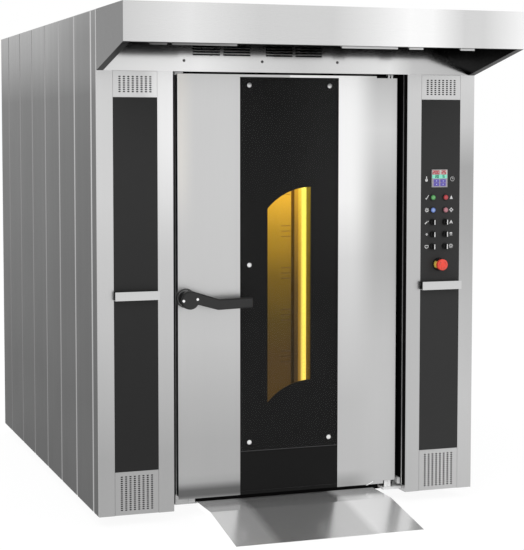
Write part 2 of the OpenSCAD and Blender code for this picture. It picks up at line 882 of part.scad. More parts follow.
// Spindle through the leaf with the cam that turns in behind the keeper
module latch_cam() {
  nose_r = 8;
  color("darkgray") {
    rod_y(handle_x, handle_z, lever_y + 26 + play, door_back + 10, spindle_r);
    plate_xz(door_back + 2, 8) {
      translate([handle_x, handle_z]) circle(18);
      translate([handle_x - nose_r, handle_z - cam_reach + nose_r]) square([2 * nose_r, cam_reach - nose_r]);
      translate([handle_x, handle_z - cam_reach + nose_r]) circle(nose_r);
    }
  }
}

// ---------- chamber ----------

module chamber_floor() {
  color("lightgray")
    difference() {
      union() {
        block([-wall_x + play, chamber_y, 0], [wall_x - play, diffuser_y - play, floor_h]);
        block([-ramp_w / 2, jamb_y, 0], [ramp_w / 2, chamber_y + 1, floor_h]);
      }
      rod_z(0, table_y, well_z, floor_h + 1, table_r + 4);
      rod_z(0, table_y, -1, floor_h, bearing_r + 21);
    }
}

module chamber_walls() {
  y1 = plenum_y;
  color("lightgray") {
    both() block([wall_x, chamber_y, 0], [wall_x + sheet, y1, ceiling_z - play]);
    difference() {
      block([-wall_x - sheet, chamber_y, ceiling_z], [wall_x + sheet, y1, ceiling_z + sheet]);
      rod_z(0, table_y, ceiling_z - 1, ceiling_z + sheet + 1, hook_shaft_r + 2);
      rod_z(0, fan_y, ceiling_z - 1, ceiling_z + sheet + 1, fan_shaft_r + 2);
      rod_z(flue_x, flue_y, ceiling_z - 1, ceiling_z + sheet + 1, flue_r + play);
      rod_z(-flue_x, flue_y, ceiling_z - 1, ceiling_z + sheet + 1, steam_r + play);
    }
    difference() {
      block([-wall_x - sheet, y1 + play, 0], [wall_x + sheet, y1 + play + sheet, ceiling_z + sheet]);
      rod_y(0, burner_z, y1 - 1, y1 + 2 * sheet, burner_r + play);
      rod_y(water_x, water_z, y1 - 1, y1 + 2 * sheet, water_r + play);
    }
    block([-wall_x + play, diffuser_y + sheet + play, 0], [wall_x - play, y1 - play, sheet]);
  }
}

module diffuser_wall() {
  groups = floor((chamber_h - 150) / slot_pitch) + 1;
  color("goldenrod")
    plate_xz(diffuser_y, sheet) difference() {
      translate([-wall_x + play, floor_h + play]) square([chamber_w - 2 * play, chamber_h - 2 * play]);
      for (i = [0:groups - 1], j = [-1:1], s = [-1, 1])
        translate([s * (wall_x - 52) - 28, floor_h + 189 + i * slot_pitch + j * 30 - 3]) square([56, 6]);
      // suction grille in front of the fan
      for (i = [-5:5], j = [-2:2])
        translate([i * 40, ceiling_z - 150 + j * 40]) circle(14);
    }
}

module insulation() {
  gap = play;
  y1 = plenum_y;
  color("khaki") {
    both() block([wall_x + sheet + gap, chamber_y, 0], [wall_x + sheet + wool, y1, wool_z]);
    difference() {
      block([-wall_x - sheet, chamber_y, ceiling_z + sheet + gap], [wall_x + sheet, y1, wool_z]);
      rod_z(0, table_y, ceiling_z, wool_z + 1, hook_shaft_r + 5);
      rod_z(0, fan_y, ceiling_z, wool_z + 1, fan_shaft_r + 5);
      rod_z(flue_x, flue_y, ceiling_z, wool_z + 1, flue_r + 2);
      rod_z(-flue_x, flue_y, ceiling_z, wool_z + 1, steam_r + 2);
    }
    difference() {
      block([-wall_x - sheet, y1 + sheet + 2 * gap, 0], [wall_x + sheet, y1 + sheet + wool, wool_z]);
      rod_y(0, burner_z, y1, y1 + sheet + wool + 1, burner_r + 2);
      rod_y(water_x, water_z, y1, y1 + sheet + wool + 1, water_r + 2);
    }
  }
}

// Ribbed strip of lamp glass on the right wall
module lamp_cover() {
  lamp_w = 94;
  y1 = diffuser_y - 97;
  y0 = y1 - lamp_w;
  color("gold")
    translate([0, 0, floor_h + 150]) linear_extrude(chamber_h - 330)
      polygon([[wall_x, y0], [wall_x - 9, y0 + 6], [wall_x - 14, y0 + 22], [wall_x - 14, y1 - 22],
               [wall_x - 9, y1 - 6], [wall_x, y1]]);
}

module turntable() {
  guide_l = 2 * sqrt(table_r * table_r - pow(guide_w / 2 + 60, 2)) - 40;
  guide_h = 34;
  guide_foot = 30;
  color("silver") {
    rod_z(0, table_y, floor_h - table_t, floor_h, table_r);
    rod_z(0, table_y, well_z + play, floor_h - table_t, bearing_r + 15);
    rod_z(0, table_y, bearing_floor + play, well_z + play, table_shaft_r);
    both() {
      block([guide_w / 2, table_y - guide_l / 2, floor_h],
            [guide_w / 2 + plate, table_y + guide_l / 2, floor_h + guide_h]);
      block([guide_w / 2, table_y - guide_l / 2, floor_h],
            [guide_w / 2 + guide_foot, table_y + guide_l / 2, floor_h + plate]);
    }
    block([-guide_w / 2, table_y + guide_l / 2 - 12, floor_h],
          [guide_w / 2, table_y + guide_l / 2, floor_h + guide_h]);
  }
}

module turntable_bearing() {
  color("dimgray")
    difference() {
      union() {
        rod_z(0, table_y, -2 * base_rail_h + 1, 0, bearing_r);
        rod_z(0, table_y, 0, well_z - 1, bearing_r + 19);
      }
      rod_z(0, table_y, bearing_floor, well_z + 1, table_shaft_r + fit);
    }
}

module rack_hook() {
  bar_z = ceiling_z - 72;                   // underside of the cross bar
  bar_t = 12;
  half_w = 15;
  reach = 170;
  drop = 50;
  lip = 45;
  lip_t = 10;
  color("silver") {
    rod_z(0, table_y, bar_z, motor_z + 68, hook_shaft_r);
    block([-reach, table_y - half_w, bar_z], [reach, table_y + half_w, bar_z + bar_t]);
    both() {
      block([reach - bar_t, table_y - half_w, bar_z - drop], [reach, table_y + half_w, bar_z + bar_t]);
      block([reach - lip, table_y - half_w, bar_z - drop], [reach, table_y + half_w, bar_z - drop + lip_t]);
    }
  }
}

module roof_motors() {
  gear = [90, 110, 110];                    // half width, half depth and height of the gear case
  motor_r = 55;
  motor_l = 190;
  fin_dx = 22;
  fin_t = 8;
  foot_x = 40;                              // half width of the blocks under the beams
  drum_r = 88;                              // fan motor
  flange_r = 115;
  flange_z = wool_z + 2;
  drum_z = flange_z + 12;
  drum_top = wool_z + 150;
  rib_dz = 14;
  rib_t = 6;
  color("slategray") {
    // gearmotor of the hook
    difference() {
      union() {
        block([-gear.x, table_y - gear.y, motor_z], [gear.x, table_y + gear.y, motor_z + gear.z]);
        translate([gear.x, table_y, motor_z + 60]) rotate([0, 90, 0]) {
          cylinder(h = motor_l, r = motor_r);
          for (i = [1:7]) translate([0, 0, i * fin_dx - 2]) cylinder(h = fin_t, r = motor_r + 5);
        }
        block([-foot_x, table_y - 60, motor_z + gear.z], [foot_x, table_y + 60, beam_z]);
      }
      rod_z(0, table_y, motor_z - 1, motor_z + 70, hook_shaft_r + fit);
    }
    // fan motor
    difference() {
      union() {
        rod_z(0, fan_y, flange_z, drum_z, flange_r);
        rod_z(0, fan_y, drum_z, drum_top, drum_r);
        for (i = [1:8]) rod_z(0, fan_y, drum_z + 2 + i * rib_dz, drum_z + 2 + i * rib_dz + rib_t, drum_r + 8);
        block([-foot_x, fan_y - rail_w / 2, drum_top], [foot_x, fan_y + rail_w / 2, beam_z]);
      }
      rod_z(0, fan_y, wool_z, wool_z + 90, fan_shaft_r + fit);
    }
  }
}

// ---------- air side ----------

// One backward-curved blade: a slice of a thin ring, cut to the impeller's annulus
module blade_section() {
  arc = 0.68 * fan_r;
  intersection() {
    difference() {
      circle(fan_r - 4);
      circle(0.4 * fan_r);
    }
    translate([0.55 * fan_r, -0.5 * fan_r]) difference() {
      circle(arc);
      circle(arc - 4);
    }
    square(fan_r);
  }
}

module circulation_fan() {
  top = ceiling_z - 52;
  color("silver")
    translate([0, fan_y, 0]) {
      rod_z(0, 0, top, top + 4, fan_r);
      translate([0, 0, top - blade_h]) linear_extrude(blade_h)
        for (i = [0:blade_n - 1]) rotate(i * 360 / blade_n) blade_section();
      translate([0, 0, top - blade_h - 3]) difference() {
        cylinder(h = 3, r = fan_r);
        translate([0, 0, -1]) cylinder(h = 5, r = 0.58 * fan_r);
      }
      rod_z(0, 0, top - 60, top + 24, 36);
      rod_z(0, 0, top - 66, wool_z + 90 - play, fan_shaft_r);
    }
}

// Drum, riser, lower header, tubes and upper header: the outer shells, or with
// a wall's thickness taken off, the gas way inside them
module gas_way(w) {
  bank_x = wall_x - 150;
  bank_y = plenum_d / 2 - 130;
  low = burner_z + 180;
  head = 100;
  translate([0, fan_y, 0]) {
    rod_y(0, burner_z, -bank_y + 20 + w, plenum_d / 2 - 10 - w, 150 - w);
    block([-120 + w, -bank_y + 40 + w, burner_z], [120 - w, bank_y - 40 - w, low + 2 * w]);
    block([-bank_x + w, -bank_y + w, low + w], [bank_x - w, bank_y - w, low + head - w]);
    block([-bank_x + w, -bank_y + w, header_top - head + w], [bank_x - w, bank_y - w, header_top - w]);
    for (i = [-3:2:3], j = [-1, 1])
      rod_z(i / 3 * (bank_x - 2 * tube_r), j * (bank_y - 1.5 * tube_r), low + head - 2 * w - 1,
            header_top - head + 2 * w + 1, tube_r - w);
  }
}

module heat_exchanger() {
  foot_y = plenum_d / 2 - 190;
  color("sienna")
    difference() {
      union() {
        difference() {
          union() {
            gas_way(0);
            for (y = [fan_y - foot_y, fan_y + foot_y])
              block([-90, y - 15, sheet], [90, y + 15, burner_z - 120]);
          }
          gas_way(sheet);
        }
        rod_y(0, burner_z, plenum_y - 10 - sheet, body_d, burner_r);
        rod_y(0, burner_z, body_d - 8, body_d, burner_flange_r);
      }
      rod_y(0, burner_z, plenum_y - 11 - sheet, body_d + 1, burner_bore_r);
      rod_z(flue_x, flue_y, header_top - sheet - 1, header_top + 1, flue_r - sheet);
      for (a = [45:90:315])
        rod_y(burner_bolt_r * cos(a), burner_z + burner_bolt_r * sin(a), body_d - 9, body_d + 1, 5.5);
    }
}

// Flue and steam outlets: tubes that end above the roof
module roof_outlets() {
  color("lightgray")
    for (o = [[flue_x, flue_r, header_top], [-flue_x, steam_r, ceiling_z - 30]])
      difference() {
        union() {
          rod_z(o.x, flue_y, o.z, body_h + outlet_h, o.y);
          rod_z(o.x, flue_y, body_h, body_h + 4, o.y + 20);
        }
        rod_z(o.x, flue_y, o.z - 1, body_h + outlet_h + 1, o.y - sheet);
      }
}

// Steam generator: angle trays on four rods, and its water pipe
module steam_generator() {
  x0 = -wall_x + 22;
  tray_l = plenum_d - 280;
  tray_w = 100;
  y0 = fan_y - tray_l / 2;
  n = 9;
  color("darkslategray") {
    for (x = [x0 + 8, x0 + tray_w - 8], y = [y0 + 12, y0 + tray_l - 12])
      rod_z(x, y, sheet, water_z - 30, 7);
    for (i = [0:n - 1])
      translate([0, y0, 120 + i * (water_z - 320) / (n - 1)]) rotate([90, 0, 0]) mirror([0, 0, 1])
        linear_extrude(tray_l)
          polygon([[x0, 30], [x0 + tray_w / 2, 0], [x0 + tray_w, 30], [x0 + tray_w, 34],
                   [x0 + tray_w / 2, 4], [x0, 34]]);
    difference() {
      union() {
        rod_y(water_x, water_z, fan_y, body_d, water_r);
        block([x0, y0 + tray_l / 2 - 15, water_z - 30],
              [water_x + water_r, y0 + tray_l / 2 + 15, water_z - 10]);
        rod_z(water_x, fan_y, water_z - 30, water_z, water_r);
      }
      rod_y(water_x, water_z, fan_y + 20, body_d + 1, water_r - 2);
    }
  }
}

// ---------- threshold ----------

module threshold_plate() {
  half = ramp_w / 2;
  skirt = 22;
  color("lightgray") {
    block([-half, -fold_y, floor_h - plate], [half, jamb_y, floor_h]);
    both() block([half - plate, -fold_y + 31, floor_h - skirt], [half, door_recess + 10, floor_h]);
  }
}

module ramp_plate() {
  half = ramp_w / 2;
  run = ramp_reach - fold_y;
  rise = floor_h + foot_h - plate;
  color("lightgray") {
    run_x(-half, half)
      polygon([[-fold_y, floor_h], [-ramp_reach, ground + plate], [-ramp_reach, ground],
               [-ramp_reach + plate, ground], [-fold_y, floor_h - plate - 1]]);
    for (x = [-half / 2, 0, half / 2])
      run_x(x - plate, x + plate)
        polygon([[-fold_y, floor_h - plate], [-ramp_reach + 0.15 * run, ground + 0.15 * rise - plate],
                 [-ramp_reach + 0.15 * run, ground], [-fold_y, ground]]);
  }
}

// ---------- assembly ----------

module placed() translate([0, front_y, foot_h]) children();

placed() levelling_feet();
placed() base_rails();
placed() base_crossmembers();
placed() frame_posts();
placed() body_rails();
placed() side_cladding();
placed() rear_cladding();
placed() roof_panel();
placed() hood_shell();
placed() header_panel();
placed() left_column();
placed() right_column();
placed() vent_grilles();
placed() dark_panels();
placed() control_panel();
placed() grip_straps();
placed() strap_ends();
placed() door_jamb();
placed() reveal_strips();
placed() door_fittings();
placed() chamber_floor();
placed() chamber_walls();
placed() diffuser_wall();
placed() insulation();
placed() lamp_cover();
placed() heat_exchanger();
placed() steam_generator();
placed() roof_motors();
placed() roof_outlets();
placed() turntable_bearing();
placed() threshold_plate();
placed() ramp_plate();
placed() display_unit();
placed() switch_bezels();
placed() door_skin();
placed() door_core();
placed() door_liner();
placed() door_glass();
placed() window_mask();
placed() inner_glass();
placed() kick_panel();
placed() door_gasket();
placed() glass_screws();
placed() door_pivots();
placed() lever_handle();
placed() latch_cam();
placed() turntable();
placed() rack_hook();
placed() circulation_fan();
placed() green_button();
placed() red_button();
placed() blue_button();
placed() pink_button();
placed() selector_1();
placed() selector_2();
placed() selector_3();
placed() selector_4();
placed() selector_5();
placed() selector_6();
placed() estop_button();
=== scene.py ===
"""Looks of a rotating rack oven: the finish of each packed part, the fine pieces that
the parts carry, and the studio. Sizes are in metres, in the packed model's own frame:
+Z up, +Y to the back, the door towards -Y."""

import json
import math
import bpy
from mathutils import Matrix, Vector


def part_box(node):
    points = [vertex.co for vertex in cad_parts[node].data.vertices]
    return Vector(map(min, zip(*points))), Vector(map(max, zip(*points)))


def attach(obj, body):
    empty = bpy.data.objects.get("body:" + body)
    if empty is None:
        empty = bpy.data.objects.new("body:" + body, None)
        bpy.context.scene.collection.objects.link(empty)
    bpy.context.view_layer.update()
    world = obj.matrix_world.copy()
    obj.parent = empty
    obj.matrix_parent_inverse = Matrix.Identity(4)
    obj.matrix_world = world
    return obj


bl_info = {
    "name": "Rotating Rack Oven",
    "version": (1, 0, 0),
    "blender": (4, 5, 0),
    "location": "View3D > Sidebar > Rack Oven",
    "description": "Finishes, controls, fasteners and studio of a rotating rack oven",
    "category": "Object",
}

from types import SimpleNamespace

import bmesh
import bpy
from mathutils import Matrix, Vector

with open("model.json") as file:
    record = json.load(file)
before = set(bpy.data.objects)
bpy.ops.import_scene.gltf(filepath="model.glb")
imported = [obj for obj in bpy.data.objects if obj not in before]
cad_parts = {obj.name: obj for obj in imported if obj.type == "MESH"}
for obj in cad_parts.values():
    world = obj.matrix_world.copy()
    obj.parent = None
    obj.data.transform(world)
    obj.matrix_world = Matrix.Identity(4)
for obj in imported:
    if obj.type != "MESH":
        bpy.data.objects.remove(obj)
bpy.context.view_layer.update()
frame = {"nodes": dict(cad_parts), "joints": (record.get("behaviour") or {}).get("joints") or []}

# Places that the packed parts give
FACE_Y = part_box("left_column")[0].y
ROOF_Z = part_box("roof_panel")[1].z
REAR_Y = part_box("rear_cladding")[1].y
FLANK_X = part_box("side_cladding")[1].x
REVEAL_X = -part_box("left_column")[1].x
LEAF_LOW, LEAF_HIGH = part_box("door_skin")
LINER_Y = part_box("door_liner")[1].y
GLASS_LOW, GLASS_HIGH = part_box("door_glass")
INNER_LOW, INNER_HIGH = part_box("inner_glass")
PANEL_LOW, PANEL_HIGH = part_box("control_panel")
DARK_LOW_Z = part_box("dark_panels")[0].z
STRIP_LOW, STRIP_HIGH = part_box("vent_grilles")
SCREEN_LOW, SCREEN_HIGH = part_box("display_unit")
HOOD_LOW, HOOD_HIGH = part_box("hood_shell")
HEADER_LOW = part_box("header_panel")[0]
FOOT_TOP_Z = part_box("levelling_feet")[1].z
LAMP_LOW, LAMP_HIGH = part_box("lamp_cover")
WALL_X = LAMP_HIGH.x          # inner face of the chamber's side walls
DIFFUSER_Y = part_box("diffuser_wall")[0].y
TRIM_Z = (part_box("chamber_walls")[0].z + 0.03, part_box("chamber_walls")[1].z - 0.06)   # foot, top
FITTING_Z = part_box("door_fittings")[0].z
FASCIA_Z = 2.136              # the fascia's lower edge
SHEET = 0.002                 # thickness of the casing's sheet
SLOT_PITCH_X = 0.020          # spacing of the vent slots, across and up
SLOT_PITCH_Z = 0.0094
LOWER_VENT_Z = (STRIP_LOW.z + DARK_LOW_Z) / 2
UPPER_VENT_Z = (PANEL_HIGH.z + STRIP_HIGH.z) / 2
DULL_EDGE = (0.6, 0.6, 0.6)   # keeps steel from turning white at a low angle


def middle(node):
    """Centre of a packed part's box."""
    low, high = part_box(node)
    return (low + high) / 2


def joint_place(name):
    """Where a joint of the packed model turns."""
    return Vector(next(joint for joint in frame["joints"] if joint["name"] == name)["pos_m"])


# ---------- shaders ----------


class Wire:
    """A node's output. Arithmetic on it adds Math nodes."""

    def __init__(self, nodes, socket):
        self.nodes = nodes
        self.socket = socket

    def _math(self, operation, left, right):
        return self.nodes.node("ShaderNodeMath", {"operation": operation}, left, right)

    def __add__(self, other):
        return self._math("ADD", self, other)

    def __radd__(self, other):
        return self._math("ADD", other, self)

    def __sub__(self, other):
        return self._math("SUBTRACT", self, other)

    def __rsub__(self, other):
        return self._math("SUBTRACT", other, self)

    def __mul__(self, other):
        return self._math("MULTIPLY", self, other)

    def __rmul__(self, other):
        return self._math("MULTIPLY", other, self)

    def __gt__(self, other):
        return self._math("GREATER_THAN", self, other)

    def __lt__(self, other):
        return self._math("LESS_THAN", self, other)


class Nodes:
    """A cleared node tree with its output node."""

    def __init__(self, tree, kind):
        self.tree = tree
        self.tree.nodes.clear()
        self.output = self.tree.nodes.new(kind)

    def put(self, socket, value):
        """Links a wire to a socket, or sets the socket's own value."""
        if isinstance(value, Wire):
            self.tree.links.new(value.socket, socket)
        elif socket.type == "RGBA":
            socket.default_value = (*value[:3], 1.0)
        else:
            socket.default_value = value

    def node(self, kind, settings=None, *values, output=0, **named):
        """A node of one type: its settings first, then the values or links of its sockets."""
        made = self.tree.nodes.new(kind)
        for key, value in (settings or {}).items():
            if key == "stops":
                for index, (spot, colour) in enumerate(value):
                    ramp = made.color_ramp.elements
                    stop = ramp[index] if index < 2 else ramp.new(spot)
                    stop.position = spot
                    stop.color = (*colour, 1.0)
            else:
                setattr(made, key, value)
        for index, value in enumerate(values):
            if value is not None:
                self.put(made.inputs[index], value)
        for key, value in named.items():
            self.put(made.inputs[key.replace("_", " ")], value)
        return Wire(self, made.outputs[output])

    def ray(self, kind):
        """1 where the surface or the room is seen by a ray of this kind."""
        return self.node("ShaderNodeLightPath", output="Is %s Ray" % kind)

    def show(self, shader):
        """Links a shader to the output."""
        self.put(self.output.inputs["Surface"], shader)


class Surface(Nodes):
    """A material with a Principled shader, and the nodes that vary it."""

    def __init__(self, name, **constants):
        self.material = bpy.data.materials.new(name)
        self.material.use_nodes = True
        super().__init__(self.material.node_tree, "ShaderNodeOutputMaterial")
        self.shader = self.tree.nodes.new("ShaderNodeBsdfPrincipled")
        self.show(Wire(self, self.shader.outputs["BSDF"]))
        self.set(**constants)

    def set(self, **sockets):
        """Sets or links sockets of the main shader, such as base_color or roughness."""
        for key, value in sockets.items():
            name = "Specular IOR Level" if key == "specular" else key.replace("_", " ").title()
            self.put(self.shader.inputs[name], value)
        return self

    def place(self):
        """Position on the object, in metres."""
        return self.node("ShaderNodeTexCoord", output="Object")

    def axis(self, name):
        """One coordinate of the position."""
        return self.node("ShaderNodeSeparateXYZ", None, self.place(), output=name)

    def facing(self, name):
        """One coordinate of the direction that the surface faces."""
        normal = self.node("ShaderNodeNewGeometry", output="True Normal")
        return self.node("ShaderNodeSeparateXYZ", None, normal, output=name)

    def noise(self, scale, detail=3.0, rough=0.5):
        """Soft noise from 0 to 1; scale is per metre, a number or one for each axis."""
        sides = scale if isinstance(scale, tuple) else (scale,) * 3
        spot = self.node("ShaderNodeVectorMath", {"operation": "MULTIPLY"}, self.place(), sides)
        return self.node("ShaderNodeTexNoise", None, Vector=spot, Scale=1.0,
                         Detail=detail, Roughness=rough, output="Fac")

    def fade(self, value, start, end, to_start=0.0, to_end=1.0):
        """value brought from start..end to another range, smoothly and clamped."""
        return self.node("ShaderNodeMapRange", {"interpolation_type": "SMOOTHSTEP"},
                         value, start, end, to_start, to_end)

    def tones(self, value, *stops):
        """Colours along a value: pairs of the value and a colour or a display level."""
        low, high = stops[0][0], stops[-1][0]
        part = self.node("ShaderNodeMapRange", None, value, low, high, 0.0, 1.0)
        points = [((spot - low) / (high - low), grey(tone) if isinstance(tone, (int, float)) else tone)
                  for spot, tone in stops]
        return self.node("ShaderNodeValToRGB", {"stops": points}, part)

    def blend(self, factor, first, second):
        """Mix of two colours."""
        unused = [None] * 5     # the node's sockets for vectors and plain numbers
        return self.node("ShaderNodeMix", {"data_type": "RGBA"}, factor, *unused, first, second, output=2)

    def scaled(self, colour, amount):
        """A colour made lighter or darker by a number or a wire."""
        return self.node("ShaderNodeVectorMath", {"operation": "SCALE"}, colour, Scale=amount)

    def bump(self, height, depth, strength=1.0):
        """Feeds the normal from a height of 0 to 1, depth metres deep."""
        made = self.node("ShaderNodeBump", None, Strength=strength, Distance=depth, Height=height)
        return self.set(normal=made)


def grey(level):
    """A neutral colour, from the display level of 0 to 255 that it is to show."""
    part = level / 255
    value = ((part + 0.055) / 1.055) ** 2.4
    return (value, value, value)


GRAIN = {"X": (7.0, 1100.0, 1100.0), "Y": (1100.0, 7.0, 1100.0), "Z": (1100.0, 1100.0, 7.0)}
BANDS = {"X": (0.3, 14.0, 14.0), "Y": (14.0, 0.3, 14.0), "Z": (14.0, 14.0, 0.3)}


def brushed(name, tone, grain="Z", rough=0.3, bands=0.04, metallic=1.0, depth=0.00004):
    """Brushed stainless steel: fine streaks along the grain, broad bands where the sheet
    was rolled, and handling marks. tone is a display level or a function of the surface."""
    steel = Surface(name, metallic=metallic)
    colour = tone(steel) if callable(tone) else grey(tone)
    streaks = steel.noise(GRAIN[grain], detail=2.0)
    rolled = steel.noise(BANDS[grain], detail=2.0)
    marks = steel.noise(2.3, detail=4.0)
    shade = 1 - bands + 2 * bands * rolled + 0.05 * (streaks - 0.5) + 0.02 * (marks - 0.5)
    steel.set(base_color=steel.scaled(colour, shade))
    steel.set(roughness=rough + 0.08 * (streaks - 0.5) + 0.08 * (marks - 0.5))
    return steel.bump(streaks, depth, 0.5)


def coated(name, colour, rough=0.4, level=0.35, peel=0.00003):
    """Enamel or powder coat: faint cloudiness and the skin's fine orange peel."""
    paint = Surface(name, specular=level)
    cloud = paint.noise(3.0, detail=3.0)
    peel_height = paint.noise(650.0, detail=2.0)
    tone = colour(paint) if callable(colour) else colour
    paint.set(base_color=paint.scaled(tone, 0.94 + 0.12 * cloud))
    paint.set(roughness=rough + 0.12 * (paint.noise(28.0) - 0.5))
    return paint.bump(peel_height, peel, 0.6)


def moulded(name, colour, rough=0.35, level=0.4):
    """Moulded plastic: fine spark texture and a slight shift of tone."""
    plastic = Surface(name, specular=level)
    plastic.set(base_color=plastic.scaled(colour, 0.93 + 0.14 * plastic.noise(40.0)))
    plastic.set(roughness=rough + 0.1 * (plastic.noise(300.0) - 0.5))
    return plastic.bump(plastic.noise(2500.0, detail=1.0), 0.00003, 0.5)


def polished(name, level=0.8, rough=0.12):
    """Turned or polished metal with faint lathe marks."""
    metal = Surface(name, metallic=1.0)
    metal.set(base_color=metal.scaled((level, level, level), 0.92 + 0.16 * metal.noise(60.0)))
    metal.set(roughness=rough + 0.08 * metal.noise(900.0, detail=1.0))
    return metal.bump(metal.noise(1800.0, detail=1.0), 0.00001, 0.4)


def clear_glass(name, colour, alpha, rough=0.03):
    """Flat glass: what lies behind shows through, with faint smears in the gloss."""
    pane = Surface(name, base_color=colour, alpha=alpha, specular=0.3)
    return pane.set(roughness=rough + 0.05 * pane.noise(9.0, detail=4.0))


def glowing(name, colour, strength, rough=0.4):
    """A lit surface, such as a digit or a key; colour may be a function of the surface."""
    lit = Surface(name, emission_strength=strength)
    tone = colour(lit) if callable(colour) else lit.scaled(colour, 0.96 + 0.08 * lit.noise(120.0))
    lit.set(base_color=tone, emission_color=tone)
    return lit.set(roughness=rough + 0.1 * (lit.noise(80.0) - 0.5))


def finished(name):
    """A finish that was made before, for a further piece."""
    return SimpleNamespace(material=bpy.data.materials[name])


def dress(surface, *nodes):
    """Gives packed parts a finish."""
    for name in nodes:
        data = frame["nodes"][name].data
        data.materials.clear()
        data.materials.append(surface.material)


def soften(width, *nodes):
    """Rounds the sharp edges of packed parts with a small bevel."""
    for name in nodes:
        edge = frame["nodes"][name].modifiers.new("soft_edges", "BEVEL")
        edge.width = width
        edge.segments = 2
        edge.limit_method = "ANGLE"
        edge.angle_limit = math.radians(50)


# ---------- forms ----------

UPRIGHT = Matrix(((1, 0, 0, 0), (0, 0, 1, 0), (0, 1, 0, 0), (0, 0, 0, 1)))  # swaps Y and Z
ACROSS = Matrix(((0, 1, 0, 0), (1, 0, 0, 0), (0, 0, 1, 0), (0, 0, 0, 1)))   # swaps X and Y
BACKWARD = Matrix.Rotation(math.pi, 4, "Z")
SKYWARD = Matrix.Rotation(-math.pi / 2, 4, "X")                             # -Y becomes +Z


def at(x, y, z, turn=None):
    """A place, and how what stands there is turned."""
    return Matrix.Translation((x, y, z)) @ (turn or Matrix.Identity(4))


class Form:
    """A mesh under construction. Shapes are drawn facing -Y and may be moved and turned."""

    def __init__(self):
        self.mesh = bmesh.new()

    def prism(self, outline, y0, y1, where=None):
        """A flat shape given by x, z points, from its face at y0 back to y1."""
        where = where or Matrix.Identity(4)
        front = [self.mesh.verts.new(where @ Vector((x, y0, z))) for x, z in outline]
        back = [self.mesh.verts.new(where @ Vector((x, y1, z))) for x, z in outline]
        self.mesh.faces.new(front)
        self.mesh.faces.new(back[::-1])
        for i in range(len(front)):
            j = (i + 1) % len(front)
            self.mesh.faces.new((front[j], front[i], back[i], back[j]))
        return self

    def box(self, low, high):
        """A box between two corners."""
        (x0, y0, z0), (x1, y1, z1) = low, high
        return self.prism([(x0, z0), (x1, z0), (x1, z1), (x0, z1)], y0, y1)

    def beam(self, section, x0, x1):
        """A straight bar along X, its section given by y, z points."""
        return self.prism(section, x0, x1, ACROSS)

    def lathe(self, where, profile, steps=24):
        """A turned shape: profile holds (radius, distance) pairs, the distance towards -Y."""
        rings = []
        for radius, out in profile:
            count = steps if radius else 1
            spots = [Vector((radius * math.cos(math.tau * i / steps), -out,
                             radius * math.sin(math.tau * i / steps))) for i in range(count)]
            rings.append([self.mesh.verts.new(where @ spot) for spot in spots])
        for first, second in zip(rings, rings[1:]):
            for i in range(steps):
                j = (i + 1) % steps
                corners = [first[i % len(first)], first[j % len(first)],
                           second[j % len(second)], second[i % len(second)]]
                corners = list(dict.fromkeys(corners))
                if len(corners) > 2:
                    self.mesh.faces.new(corners)
        for ring in (rings[0], rings[-1]):
            if len(ring) > 1 and profile[0] != profile[-1]:
                self.mesh.faces.new(ring)
        return self

    def stroke(self, points, width, y0, y1):
        """A flat line of even width through x, z points, closed where the ends meet."""
        spots = [Vector(point) for point in points]
        closed = (spots[0] - spots[-1]).length < 1e-6
        if closed:
            spots.pop()
        rows = []
        for index, spot in enumerate(spots):
            inner = closed or 0 < index < len(spots) - 1
            before = spots[index - 1] if inner or index else 2 * spot - spots[1]
            after = spots[(index + 1) % len(spots)] if inner or not index else 2 * spot - spots[index - 1]
            come = (spot - before).normalized()
            mitre = (come + (after - spot).normalized()).normalized()
            side = Vector((-mitre.y, mitre.x)) * width / 2 / max(mitre.dot(come), 0.4)
            end = spot if inner else spot + come * (width / 2 if index else -width / 2)
            corners = ((end - side, y0), (end + side, y0), (end + side, y1), (end - side, y1))
            rows.append([self.mesh.verts.new((corner.x, y, corner.y)) for corner, y in corners])
        for row, following in zip(rows, rows[1:] + rows[:1] if closed else rows[1:]):
            for k in range(4):
                self.mesh.faces.new((row[k], row[(k + 1) % 4], following[(k + 1) % 4], following[k]))
        if not closed:
            self.mesh.faces.new(rows[0])
            self.mesh.faces.new(rows[-1])
        return self

    def screw(self, where, radius, steps=20):
        """A round-headed screw with a socket in its head."""
        rise = 0.62 * radius
        profile = [(0, 0.25), (0.42, 0.25), (0.45, 1), (0.7, 0.9), (0.92, 0.55), (1, 0.1), (1, -0.3)]
        return self.lathe(where, [(part * radius, height * rise) for part, height in profile], steps)

    def place(self, name, body, slot, surface, smooth=True, bevel=0):
        """Closes the form and sets it on its body as a named piece."""
        bmesh.ops.remove_doubles(self.mesh, verts=self.mesh.verts, dist=1e-7)
        bmesh.ops.recalc_face_normals(self.mesh, faces=self.mesh.faces)
        data = bpy.data.meshes.new(name)
        self.mesh.to_mesh(data)
        self.mesh.free()
        if smooth:
            data.shade_smooth()
            data.set_sharp_from_angle(angle=math.radians(35))
        data.materials.append(surface.material)
        made = bpy.data.objects.new(name, data)
        bpy.context.scene.collection.objects.link(made)
        if bevel:
            edge = made.modifiers.new("soft_edges", "BEVEL")
            edge.width = bevel
            edge.segments = 2
        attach(made, body)
        return made


# ---------- studio ----------


